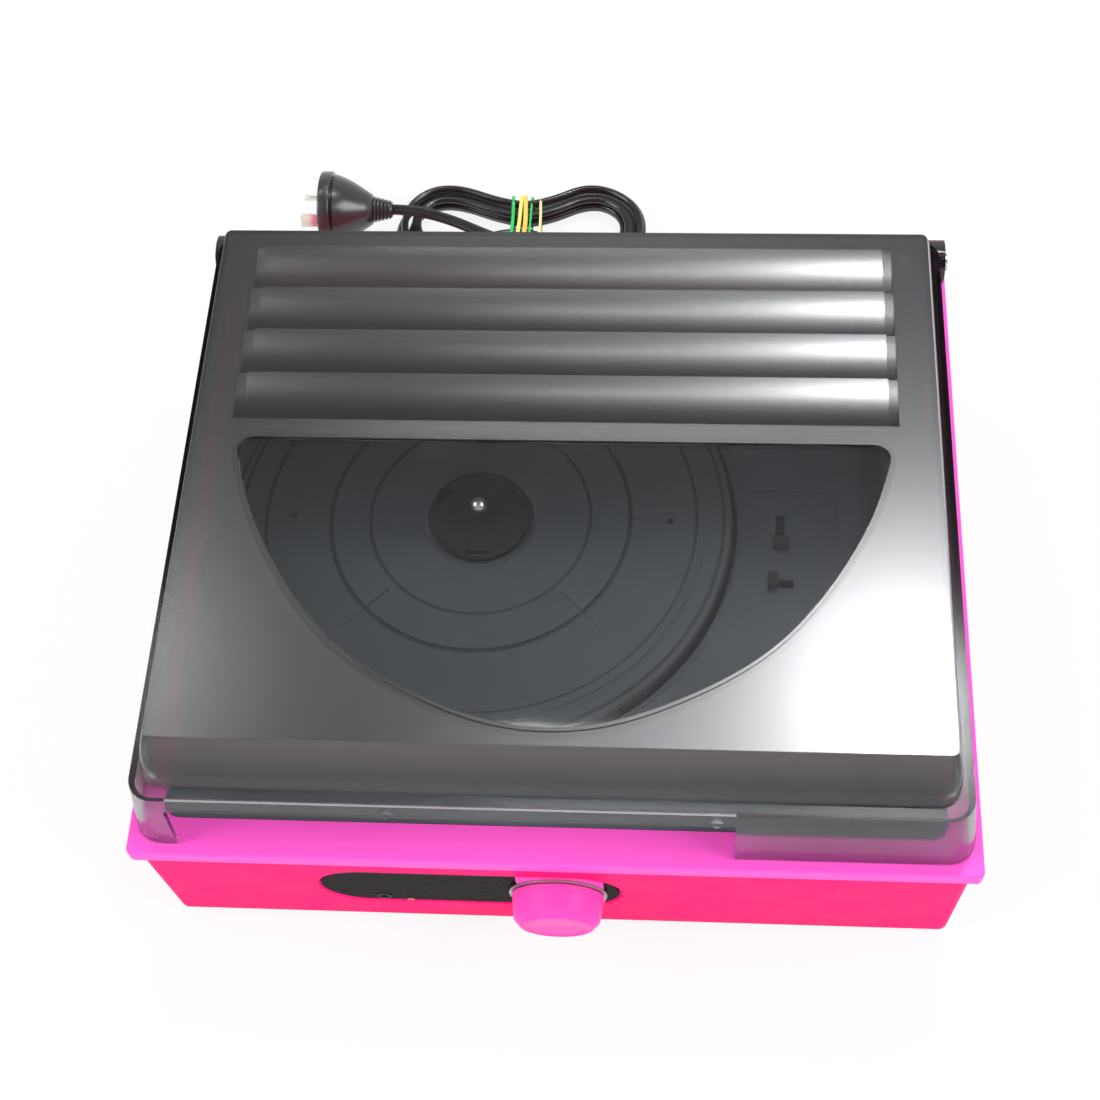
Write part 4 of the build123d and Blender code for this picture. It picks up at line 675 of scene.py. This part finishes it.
@dataclass
class Studio:
    """Camera, lamps, floor and surroundings. Places are in metres, levels are 1 at white."""

    eye: Point = (0.0442, -0.3715, 0.7255)
    right: Point = (0.99761094, 0.04839122, -0.04930215)
    up: Point = (-0.0173492, 0.86629396, 0.4992332)
    forward: Point = (-0.06686866, 0.49718515, -0.86506388)
    lens: float = 62.44
    sensor: float = 36.0
    near_clip: float = 0.01
    aim: Point = (0.0, 0.0, 0.1)
    floor_size: float = 16.0
    floor_tone: float = 0.82
    floor_white: float = 0.99
    floor_white_share: float = 0.86
    walls: float = 1.05
    ceiling: float = 0.34
    wall_to_ceiling: Pair = (0.45, 0.8)
    glows: tuple[Glow, ...] = (
        Glow((0.25, 0.62, 1.37), 3.4, 5.0),
        Glow((0.22, 0.54, 1.37), 9.0, 0.7),
    )
    lamps: tuple[Lamp, ...] = (
        Lamp("lamp_right", (0.305, 0.57, 1.5), (0.15, 0.17), 116.0),
        Lamp("panel_left", (-0.62, 0.6, 1.5), (0.18, 0.2), 15.0),
        Lamp("panel_rear", (-0.1, 0.98, 1.5), (0.5, 0.09), 12.0),
        Lamp("panel_middle", (0.04, 0.47, 1.5), (0.4, 0.12), 8.5),
        Lamp("panel_front", (0.0, -1.8, 0.8), (1.8, 0.8), 1.0, (1.0, 0.8, 0.74), aim),
        Lamp("side_left", (-1.7, -0.5, 1.5), (1.2, 1.2), 7.4, (0.94, 0.96, 1.0), aim),
        Lamp("side_right", (1.7, -0.5, 1.5), (1.2, 1.2), 7.4, (0.94, 0.96, 1.0), aim),
    )

    def place_camera(self) -> None:
        """Stand the camera where the photograph was taken."""
        data = bpy.data.cameras.new("view_camera")
        data.lens = self.lens
        data.sensor_width = self.sensor
        data.clip_start = self.near_clip
        camera = bpy.data.objects.new("view_camera", data)
        bpy.context.scene.collection.objects.link(camera)
        turn = Matrix((self.right, self.up, [-part for part in self.forward])).transposed()
        camera.matrix_world = Matrix.Translation(self.eye) @ turn.to_4x4()
        bpy.context.scene.camera = camera

    def set_world(self) -> None:
        """Surround the object with a pale room, darker overhead, with the lamp's soft glow."""
        world = bpy.data.worlds.new("pale_room")
        bpy.context.scene.world = world
        world.use_nodes = True
        bench = Bench(world.node_tree)
        place = bench.add("TexCoord").outputs["Generated"]
        height = bench.add("SeparateXYZ", {"Vector": place}).outputs["Z"]
        total = bench.spread(
            height, self.walls, self.ceiling, self.wall_to_ceiling, interpolation_type="SMOOTHSTEP"
        )
        for glow in self.glows:
            total = bench.maths("ADD", total, glow.lay(bench, place))
        room = bench.add("Background", {"Strength": total})
        bench.add("OutputWorld", {"Surface": room.outputs["Background"]})

    def lay_floor(self) -> None:
        """Lay a pale floor whose picture is nearly white and keeps a soft shadow."""
        Workshop.clear_selection()
        bpy.ops.mesh.primitive_plane_add(size=self.floor_size, location=(0, 0, 0))
        floor = bpy.context.object
        floor.name = "floor"
        material = bpy.data.materials.new("pale_floor")
        material.use_nodes = True
        bench = Bench(material.node_tree)
        matt = bench.add("BsdfDiffuse", {"Color": (self.floor_tone,) * 3 + (1.0,)})
        white = bench.add("Emission", {"Color": (1.0, 1.0, 1.0, 1.0), "Strength": self.floor_white})
        path = bench.add("LightPath").outputs
        sees = bench.maths("MAXIMUM", path["Is Camera Ray"], path["Is Glossy Ray"])
        sees = bench.maths("MAXIMUM", sees, path["Is Transmission Ray"])
        share = bench.maths("MULTIPLY", sees, self.floor_white_share)
        mix = bench.add("MixShader", {"Fac": share, 1: matt.outputs["BSDF"], 2: white.outputs["Emission"]})
        bench.add("OutputMaterial", {"Surface": mix.outputs["Shader"]})
        floor.data.materials.append(material)

    def build(self) -> None:
        """Set up everything that isn't the object."""
        bpy.context.scene.view_settings.view_transform = "Standard"
        self.place_camera()
        for lamp in self.lamps:
            lamp.hang()
        self.set_world()
        self.lay_floor()


@dataclass
class MainsLead:
    """The flat twin lead, folded into a banded hank. Sizes are in millimetres.

    The hank's near and far runs are given by their distance from its middle line, loop by loop.
    """

    core: float = 1.65
    core_offset: float = 0.95
    core_arc: float = 122.0
    core_points: int = 9
    roll: float = 0.9
    roll_swing: float = 0.5
    roll_rate: float = 14.0
    line_steps: int = 10
    sharp: float = 50.0
    hank_x: float = -34.5
    hank_y: float = 221.2
    reach: float = 34.4
    waist_x: float = -31.0
    waist_half: float = 8.0
    left_angle: float = radians(22.4)
    right_angle: float = radians(28.2)
    length: float = 1.267
    ground: float = 3.9
    near_runs: tuple[float, ...] = (27.0, 21.3, 15.6, 21.3, 27.0)
    far_runs: tuple[float, ...] = (21.3, 15.6, 15.6, 21.3)
    climbs: tuple[Pair, ...] = ((3.9, 3.9), (3.9, 3.9), (3.9, 9.5), (9.5, 9.5), (9.5, 15.4))
    climb_at_right: float = 0.35
    climb_at_left: float = 0.9
    far_levels: tuple[float, ...] = (3.9, 3.9, 9.5, 9.5)
    exit_point: Point = (60.0, 159.589, 22.0)
    lead_steps: tuple[Point, ...] = (
        (0.0, 0.0, 0.0),
        (0.0, 12.0, 0.0),
        (-6.0, 22.4, -3.5),
        (-16.4, 28.4, -9.5),
        (-28.4, 28.8, -14.0),
    )
    lead_run_in: float = 31.0
    tail: tuple[Point, ...] = ((-78.4, 222.2, 18.0), (-95.4, 222.2, 18.0))
    corner_count: int = 4

    def _end(self, side: Side) -> Pair:
        """Centre and tangent angle of one round end."""
        angle = self.right_angle if side is Side.RIGHT else self.left_angle
        return self.hank_x + side.value * self.reach, angle

    def _waist(self, side: Side, far: int, radius: float, shift: float, height: float) -> Point:
        """Where a run reaches the banded waist.

        Args:
            side: The side of the waist.
            far: 1 for a far run, -1 for a near one.
            radius: Radius of the round end that the run comes from.
            shift: How far that end's centre lies behind the middle line.
            height: The run's height there.

        Returns:
            The route's corner.
        """
        centre, angle = self._end(side)
        x = self.waist_x + side.value * self.waist_half
        reach = abs(centre - x)
        return (x, self.hank_y + shift + far * (radius / cos(angle) - reach * tan(angle)), height)

    def _round(self, side: Side, radius: float, shift: float, height: float) -> list[Point]:
        """The route's corners round one end, from the near side to the far side.

        Args:
            side: The end.
            radius: The turn's radius.
            shift: How far its centre lies behind the middle line.
            height: Its height.

        Returns:
            The corners in order.
        """
        centre, angle = self._end(side)
        turn = (pi + 2 * angle) / self.corner_count
        stretch = radius / cos(turn / 2)
        corners = []
        for index in range(self.corner_count):
            place = -(pi / 2 + angle) + turn * (index + 0.5)
            x = centre + side.value * stretch * cos(place)
            corners.append((x, self.hank_y + shift + stretch * sin(place), height))
        return corners

    def _hank(self) -> list[Point]:
        """The route's corners through the whole hank.

        Returns:
            The corners, loop by loop.
        """
        points: list[Point] = []
        for loop, near in enumerate(self.near_runs):
            low, high = self.climbs[loop]
            before = self.far_runs[loop - 1] if loop else near
            after = self.far_runs[loop] if loop < len(self.far_runs) else near
            right = ((near + before) / 2, (before - near) / 2)
            left = ((near + after) / 2, (after - near) / 2)
            points.append(self._waist(Side.RIGHT, -1, *right, low + self.climb_at_right * (high - low)))
            points.append(self._waist(Side.LEFT, -1, *left, low + self.climb_at_left * (high - low)))
            if loop == len(self.far_runs):
                break
            level = self.far_levels[loop]
            points.extend(self._round(Side.LEFT, *left, high))
            following = self.near_runs[loop + 1]
            turn_back = ((following + after) / 2, (after - following) / 2)
            points.append(self._waist(Side.LEFT, 1, *left, level))
            points.append(self._waist(Side.RIGHT, 1, *turn_back, level))
            points.extend(reversed(self._round(Side.RIGHT, *turn_back, level)))
        return points

    def route(self) -> list[Point]:
        """The whole lead's route.

        Returns:
            Its corners, from the strain relief to the plug.
        """
        hank = self._hank()
        first = Vector(hank[0])
        turn = Vector(self._round(Side.RIGHT, self.near_runs[0], 0.0, self.ground)[0])
        lead = [tuple(a + b for a, b in zip(self.exit_point, step)) for step in self.lead_steps]
        lead.append(tuple(first + (turn - first).normalized() * self.lead_run_in))
        return [*lead, *hank, *self.tail]

    def _line(self) -> list[Vector]:
        """Read the lead's smooth centre line from one spline.

        Returns:
            Its points, in metres.
        """
        curve = Workshop.spline("mains_lead_line", self.route(), self.line_steps, closed=False)
        holder = bpy.data.objects.new("mains_lead_line", curve)
        mesh = bpy.data.meshes.new_from_object(holder)
        line = [vertex.co.copy() for vertex in mesh.vertices]
        bpy.data.meshes.remove(mesh)
        bpy.data.objects.remove(holder)
        bpy.data.curves.remove(curve)
        return line

    def _section(self) -> list[Pair]:
        """The twin section: two round cores side by side.

        Returns:
            Its points, across and up, in metres.
        """
        round_core = arc((self.core_offset, 0.0), self.core, -self.core_arc, self.core_arc, self.core_points)
        return [(side.value * across * MM, side.value * up * MM) for side in Side for across, up in round_core]

    def _tube(self, name: str, line: list[Vector]) -> bpy.types.Object:
        """Sweep the twin section along a line, rolling slowly as a flat lead does.

        Args:
            name: The piece's name.
            line: The centre line's points, in metres.

        Returns:
            The closed tube.
        """
        section = self._section()
        count = len(section)
        rows = []
        way = 0.0
        for index, point in enumerate(line):
            before = line[max(index - 1, 0)]
            after = line[min(index + 1, len(line) - 1)]
            along = (after - before).normalized()
            side = along.cross(Vector((0, 0, 1))).normalized()
            up = side.cross(along)
            way += (point - before).length
            roll = self.roll + self.roll_swing * sin(way * self.roll_rate)
            wide = side * cos(roll) + up * sin(roll)
            thin = up * cos(roll) - side * sin(roll)
            rows.extend(tuple(point + wide * a + thin * b) for a, b in section)
        faces = []
        for start in range(0, (len(line) - 1) * count, count):
            for spot in range(count):
                after = (spot + 1) % count
                faces.append((start + spot, start + after, start + count + after, start + count + spot))
        faces.append(tuple(reversed(range(count))))
        faces.append(tuple((len(line) - 1) * count + spot for spot in range(count)))
        mesh = bpy.data.meshes.new(name)
        mesh.from_pydata(rows, [], faces)
        tube = bpy.data.objects.new(name, mesh)
        bpy.context.scene.collection.objects.link(tube)
        with Workshop.editing(tube):
            bpy.ops.mesh.normals_make_consistent(inside=False)
        Workshop.smooth(tube, self.sharp)
        return tube

    def build(self) -> None:
        """Make the lead along its spline and dress what goes with it."""
        line = self._line()
        lead = self._tube("mains_lead", line)
        Workshop.dress(lead, CORD_BLACK)
        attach(lead, Body.CABINET.value)
        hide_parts("cord_lead", "cord_hank", "cord_tail")
        plug = MainsPlug().build()
        bands = WaistBands().build()
        log.info("mains lead: %d points along its line", len(line))


@dataclass
class MainsPlug:
    """The two-blade plug: a rim disc, a groove and a domed grip. Sizes are in millimetres."""

    origin: Point = (-95.4, 222.2, 18.0)
    radius: float = 18.0
    rim_back: float = 27.6
    rim_face: float = 33.6
    rim_corner: float = 0.9
    rim_rise: float = 1.3
    face_radius: float = 14.6
    face_step: Pair = (0.4, 0.5)
    blade_edge: float = 0.4
    blade_steps: int = 3
    steps: int = 64
    sharp: float = 38.0
    neck_radius: float = 3.6
    neck_ribs: int = 5
    rib: tuple[Pair, ...] = ((0.0, 0.0), (0.5, 0.4), (0.55, 1.0), (0.0, 1.3))
    rib_pitch: Pair = (0.42, 1.7)
    first_rib: Pair = (3.9, 0.6)
    grip: tuple[Pair, ...] = (
        (7.2, 9.6), (9.0, 12.4), (10.9, 15.2), (12.6, 17.9), (14.1, 20.6), (15.3, 23.2), (16.1, 25.4)
    )
    groove: tuple[Pair, ...] = ((16.5, 26.6), (16.1, 27.0), (15.2, 27.1), (15.2, 27.9), (16.4, 28.0))

    def _profile(self) -> list[Pair]:
        """The body's outline.

        Returns:
            Radius and height pairs from the neck to the face.
        """
        line = [(0.0, 0.0), (self.neck_radius, 0.0)]
        for index in range(self.neck_ribs):
            spread, foot = (start + index * pitch for start, pitch in zip(self.first_rib, self.rib_pitch))
            line.extend((spread + out, foot + up) for out, up in self.rib)
        corner = self.rim_corner
        inset, depth = self.face_step
        line.extend([*self.grip, *self.groove])
        line.extend(arc((self.radius - corner, self.rim_back + self.rim_rise), corner, -90, 0))
        line.extend(arc((self.radius - corner, self.rim_face - corner), corner, 0, 90))
        line.append((self.face_radius, self.rim_face))
        line.extend([(self.face_radius - inset, self.rim_face - depth), (0.0, self.rim_face - depth)])
        return line

    def build(self) -> list[bpy.types.Object]:
        """Make the plug's body and its blades.

        Returns:
            The body and the blades.
        """
        line = self._profile()
        body = Workshop.turned("plug_grip", line, self.steps, Workshop.along(self.origin, (-1, 0, 0)))
        Workshop.smooth(body, self.sharp)
        Workshop.dress(body, PLUG_BLACK)
        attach(body, Body.CABINET.value)
        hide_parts("plug_body")
        blades = Workshop.merged_copy("plug_blades", "plug_contact_blades")
        Workshop.round_edges(blades, self.blade_edge, self.blade_steps)
        Workshop.smooth(blades)
        Workshop.dress(blades, BLADE_METAL)
        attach(blades, Body.CABINET.value)
        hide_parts("plug_blades")
        log.info("plug: %d profile points", len(line))
        return [body, blades]


@dataclass(frozen=True)
class BandTurn:
    """One turn of a rubber band: where it lies, how it slants and how thick it is, in millimetres."""

    name: str
    place: float
    slant: float
    thick: float
    flat: float
    finish: Finish
    proud: float = 0.0


@dataclass
class WaistBands:
    """The rubber bands round the hank's waist. Sizes are in millimetres."""

    sheet: float = 1.1
    step_down: float = 5.9
    under: float = 0.75
    low_side: float = 2.4
    line_steps: int = 8
    round_steps: int = 3
    sharp: float = 60.0
    turns: tuple[BandTurn, ...] = (
        BandTurn("band_green_left", -37.8, -0.8, 1.1, 1.5, BAND_GREEN),
        BandTurn("band_yellow_left", -34.6, 0.9, 1.2, 1.5, BAND_YELLOW, 0.5),
        BandTurn("band_orange_middle", -31.6, -1.3, 1.3, 1.7, BAND_ORANGE, 0.4),
        BandTurn("band_green_middle", -29.4, 0.6, 0.9, 1.2, BAND_GREEN, -0.3),
        BandTurn("band_pale_right", -24.4, -1.6, 1.0, 1.3, BAND_PALE),
    )

    def _loop(self, turn: BandTurn) -> bpy.types.Object:
        """Make one closed turn round the runs.

        Args:
            turn: The turn.

        Returns:
            Its mesh, flattened as a band is.
        """
        low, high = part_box("band_yellow")
        near, far = low[1] / MM + self.sheet / 2, high[1] / MM - self.sheet / 2
        middle = (near + far) / 2
        top = high[2] / MM - self.sheet / 2 + turn.proud
        rear_top = top - self.step_down
        half = turn.slant / 2
        spots = [
            (-half, near + 3.0, self.under),
            (0.0, middle, self.under),
            (half, far - 3.0, self.under),
            (half * 1.2, far, self.low_side),
            (half * 1.1, far, rear_top - 1.6),
            (half * 0.6, far - 2.2, rear_top + 0.1),
            (0.1, middle + 2.0, rear_top + 0.2),
            (-0.2, near + 9.0, rear_top + 2.6),
            (-half * 0.8, near + 3.4, top + 0.1),
            (-half * 1.2, near + 0.9, top - 0.6),
            (-half * 1.4, near, top - 3.0),
            (-half * 0.8, near - 0.1, (top + 1.5) / 2),
            (-half * 1.1, near + 0.2, self.low_side),
        ]
        points = [(turn.place + x, y, z) for x, y, z in spots]
        curve = Workshop.spline(turn.name, points, self.line_steps, closed=True)
        curve.bevel_depth = turn.thick / 2 * MM
        curve.bevel_resolution = self.round_steps
        loop = bpy.data.objects.new(turn.name, curve)
        bpy.context.scene.collection.objects.link(loop)
        Workshop.pick(loop)
        bpy.ops.object.convert(target="MESH")
        loop = bpy.context.object
        with Workshop.editing(loop):
            bpy.ops.transform.resize(
                value=(turn.flat, 1.0, 1.0), center_override=(turn.place * MM, 0.0, 0.0), orient_type="GLOBAL"
            )
        return loop

    def build(self) -> list[bpy.types.Object]:
        """Make every turn.

        Returns:
            The turns, from left to right.
        """
        loops = []
        for turn in self.turns:
            loop = self._loop(turn)
            Workshop.smooth(loop, self.sharp)
            Workshop.dress(loop, turn.finish)
            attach(loop, Body.CABINET.value)
            loops.append(loop)
        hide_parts("band_yellow")
        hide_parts("band_green")
        log.info("bands: %d turns", len(loops))
        return loops


@dataclass
class ShellWork:
    """The big mouldings, copied from the frame with their edges rounded as a mould leaves them.

    Sizes are in millimetres.
    """

    edge: float = 0.45
    window_edge: float = 0.25
    cover_sharp: float = 42.0
    ledge_top: float = 112.5
    crown_top: float = 129.5
    crown_middle: float = 5.75
    crown_half: float = 130.0
    slope_x: float = 134.0
    slope_y: float = 104.0
    slope_cuts: int = 6
    slope_margin: float = 0.01
    swell: float = 0.9
    slat_rear: float = 108.5
    slat_front: float = 26.5
    slat_pitch: float = 20.5
    slat_reach: float = 122.05
    slat_depth: float = 5.5
    slat_flatten: float = 0.3

    def _shell(self, node: str, name: str, body: Body, finish: Finish, edge: float) -> None:
        """Copy one moulding and round its edges.

        Args:
            node: The CAD node.
            name: The copy's name.
            body: The body that it rides on.
            finish: Its finish.
            edge: Width of its rounded edges.
        """
        shell = Workshop.merged_copy(node, name)
        Workshop.round_edges(shell, edge)
        Workshop.even_shading(shell)
        Workshop.dress(shell, finish)
        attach(shell, body.value)
        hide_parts(node)
        log.info("%s: %d faces", name, len(shell.data.polygons))

    def _swell(self, shell: bpy.types.Object) -> None:
        """Swell the crown's slopes and flatten the slats' bow, as the moulding has them.

        Args:
            shell: The cover.
        """
        rise = self.crown_top - self.ledge_top
        with Workshop.editing(shell):
            for step in range(1, self.slope_cuts + 1):
                height = self.ledge_top + rise * step / (self.slope_cuts + 1)
                bpy.ops.mesh.select_all(action="SELECT")
                bpy.ops.mesh.bisect(plane_co=(0, 0, height * MM), plane_no=(0, 0, 1))
        middle = self.crown_middle * MM
        for vertex in shell.data.vertices:
            x, y, z = (part / MM for part in vertex.co)
            share = (z - self.ledge_top) / rise
            outside = abs(x) > self.slope_x or abs(y - self.crown_middle) > self.slope_y
            if outside and self.slope_margin < share < 1 - self.slope_margin:
                grow = 1 + self.swell * 4 * share * (1 - share) / self.crown_half
                vertex.co.x *= grow
                vertex.co.y = middle + (vertex.co.y - middle) * grow
            inside = abs(x) < self.slat_reach and self.slat_front < y < self.slat_rear
            if inside and z > self.crown_top - self.slat_depth:
                across = ((self.slat_rear - y) / self.slat_pitch) % 1.0
                vertex.co.z -= self.slat_flatten * 4 * across * (1 - across) * MM

    def build(self) -> None:
        """Make the cover, its window and the two halves of the cabinet."""
        shell = Workshop.merged_copy("lid_shell", "smoke_cover")
        self._swell(shell)
        Workshop.round_edges(shell, self.edge)
        Workshop.even_shading(shell, self.cover_sharp)
        Workshop.dress(shell, SMOKE)
        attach(shell, Body.COVER.value)
        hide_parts("lid_shell")
        log.info("smoke cover: %d faces", len(shell.data.polygons))
        self._shell("lid_window", "half_moon_window", Body.COVER, WINDOW, self.window_edge)
        self._shell("upper_cabinet", "deck_frame", Body.CABINET, PINK, self.edge)
        self._shell("lower_cabinet", "tub", Body.CABINET, PINK_TUB, self.edge)


@dataclass
class VolumeKnob:
    """The round pink knob on the tilted front. Sizes are in millimetres.

    The edge's points are offsets from the front radius and the shoulder, the rim's from the face.
    """

    centre: Point = (1.6, -126.45, 41.5)
    tilt: float = radians(4.2)
    base_radius: float = 17.35
    front_radius: float = 16.2
    face_radius: float = 13.3
    back: float = 1.5
    shoulder: float = 11.2
    face: float = 13.7
    skirt_wall: float = 2.2
    boss_radius: float = 5.5
    shaft_radius: float = 3.02
    edge: tuple[Pair, ...] = ((0.1, -0.8), (-0.1, -0.2), (-0.6, 0.35))
    rim: tuple[Pair, ...] = ((0.7, -0.45), (0.1, -0.08), (-0.7, 0.0), (-1.3, -0.05), (-2.0, -0.35))
    roof_wall: float = 2.0
    foot_bevel: float = 0.3
    rings: int = 7
    ring_width: float = 0.4
    ring_drop: float = 0.035
    ring_top: float = 0.36
    ring_foot: float = 0.39
    middle_drop: float = 0.64
    steps: int = 128
    sharp: float = 24.0

    def _profile(self) -> list[Pair]:
        """The knob's outline.

        Returns:
            Radius and height pairs, from the shaft hole round the outside to the face's middle.
        """
        back, bevel = self.back, self.foot_bevel
        roof = self.shoulder - self.roof_wall
        inner = self.base_radius - self.skirt_wall
        line = [(0.0, self.shoulder), (self.shaft_radius, self.shoulder), (self.shaft_radius, back)]
        line.extend([(self.boss_radius, back), (self.boss_radius, roof), (inner, roof), (inner, back)])
        line.extend([(self.base_radius - bevel, back), (self.base_radius, back + bevel)])
        line.extend((self.front_radius + out, self.shoulder + up) for out, up in self.edge)
        line.extend((self.face_radius + out, self.face + up) for out, up in self.rim)
        dish = line[-1][0]
        for index in range(1, self.rings):
            spread = dish * (1 - index / self.rings)
            level = self.face - self.ring_drop * index
            line.extend([(spread + self.ring_width, level - self.ring_top), (spread, level - self.ring_foot)])
        line.append((0.0, self.face - self.middle_drop))
        return line

    def build(self) -> None:
        """Turn the knob and seat it on its shaft."""
        line = self._profile()
        place = Workshop.along(self.centre, (0, -cos(self.tilt), -sin(self.tilt)))
        knob = Workshop.turned("pink_volume_knob", line, self.steps, place)
        Workshop.smooth(knob, self.sharp)
        Workshop.dress(knob, PINK_KNOB)
        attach(knob, Body.KNOB.value)
        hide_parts("volume_knob")
        log.info("volume knob: %d profile points", len(line))


@dataclass
class TurnedParts:
    """Small parts of revolution: the spindle and the lead's strain relief. Sizes are in millimetres.

    A relief rib's points are offsets from its foot and its crest.
    """

    spindle_place: Point = (-33.3, 10.9, 0.0)
    spindle_radius: float = 3.6
    spindle_foot: float = 61.0
    spindle_top: float = 96.5
    foot_bevel: float = 0.3
    dome: float = 1.15
    dome_steps: int = 8
    relief_place: Point = (60.0, 139.589, 22.0)
    collar: tuple[Pair, ...] = (
        (0.0, -2.5), (4.9, -2.5), (4.9, 0.0), (6.7, 0.0), (7.0, 0.3), (7.0, 1.6), (6.6, 2.0)
    )
    ribs: int = 6
    first_rib: Pair = (5.0, 2.3)
    rib_pitch: Pair = (-0.3, 2.9)
    rib: tuple[Pair, ...] = ((-0.7, 0.0), (-0.7, 0.8), (0.0, 1.1), (0.0, 2.4))
    tip: tuple[Pair, ...] = ((3.2, 19.7), (2.9, 20.0), (0.0, 20.0))
    steps: int = 48
    spindle_sharp: float = 40.0
    relief_sharp: float = 30.0

    def _spindle(self) -> None:
        """Turn the spindle with its domed top."""
        radius, foot = self.spindle_radius, self.spindle_foot
        line = [(0.0, foot), (radius - self.foot_bevel, foot), (radius, foot + self.foot_bevel)]
        height = self.dome * radius
        for index in range(self.dome_steps):
            angle = radians(90 * index / self.dome_steps)
            line.append((radius * cos(angle), self.spindle_top - height + height * sin(angle)))
        line.append((0.0, self.spindle_top))
        place = Workshop.along(self.spindle_place, (0, 0, 1))
        spindle = Workshop.turned("domed_spindle", line, self.steps, place)
        Workshop.smooth(spindle, self.spindle_sharp)
        Workshop.dress(spindle, STEEL)
        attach(spindle, Body.PLATTER.value)
        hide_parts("spindle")

    def _relief(self) -> None:
        """Turn the ribbed, tapered strain relief."""
        line = list(self.collar)
        for index in range(self.ribs):
            spread, foot = (start + index * pitch for start, pitch in zip(self.first_rib, self.rib_pitch))
            line.extend((spread + out, foot + up) for out, up in self.rib)
        line.extend(self.tip)
        place = Workshop.along(self.relief_place, (0, 1, 0))
        relief = Workshop.turned("ribbed_strain_relief", line, self.steps, place)
        Workshop.smooth(relief, self.relief_sharp)
        Workshop.dress(relief, BLACK)
        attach(relief, Body.CABINET.value)
        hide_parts("strain_relief")

    def build(self) -> None:
        """Turn both parts."""
        self._spindle()
        self._relief()
        log.info("turned parts: spindle and strain relief")


@dataclass
class RoundedParts:
    """Smaller CAD parts, copied with their sharp edges softened. Widths are in millimetres."""

    parts: dict[str, float] = field(
        default_factory=lambda: {
            "platter": 0.22,
            "adapter_45": 0.2,
            "motor_board": 0.3,
            "knob_ring": 0.25,
            "knob_collar": 0.25,
            "feet": 0.6,
            "tonearm_base": 0.3,
            "tonearm_gimbal": 0.25,
            "counterweight": 0.35,
            "cartridge": 0.2,
            "arm_rest": 0.25,
            "arm_clip": 0.2,
            "cue_base": 0.25,
            "cue_lever": 0.2,
            "speed_slider": 0.25,
            "stop_slider": 0.25,
            "hinge_bracket_left": 0.3,
            "hinge_bracket_right": 0.3,
            "jack_plate": 0.25,
        }
    )

    def build(self) -> None:
        """Copy, soften and dress each part."""
        bodies = frame["record"]["behaviour"]["bodies"]
        home = {node: body for body, nodes in bodies.items() for node in nodes}
        for node, width in self.parts.items():
            word = Workshop.slot_word(frame["nodes"][node])
            piece = Workshop.merged_copy(node, f"soft_{node}")
            Workshop.round_edges(piece, width)
            Workshop.even_shading(piece)
            Workshop.dress(piece, SLOT_FINISHES.get(word, BLACK))
            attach(piece, home[node])
            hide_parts(node)
        log.info("rounded parts: %d", len(self.parts))


@dataclass
class PlainNodes:
    """The frame's own solids, each dressed in the finish that its slot names."""

    panel: str = "display_panel"

    def build(self) -> None:
        """Dress every node by its material slot."""
        for name, node in frame["nodes"].items():
            word = Workshop.slot_word(node)
            if word not in SLOT_FINISHES:
                log.info("node %s has no slot in the list: %s", name, word)
            finish = PANEL_BLACK if name == self.panel else SLOT_FINISHES.get(word, BLACK)
            Workshop.dress(node, finish)


def main() -> None:
    """Build the object and its studio in order."""
    logging.basicConfig(level=logging.INFO, format="%(message)s")
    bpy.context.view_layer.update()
    Studio().build()
    RoundedParts().build()
    PlainNodes().build()
    MainsLead().build()
    ShellWork().build()
    VolumeKnob().build()
    TurnedParts().build()
    log.info("all pieces made")


if __name__ == "__main__":
    main()
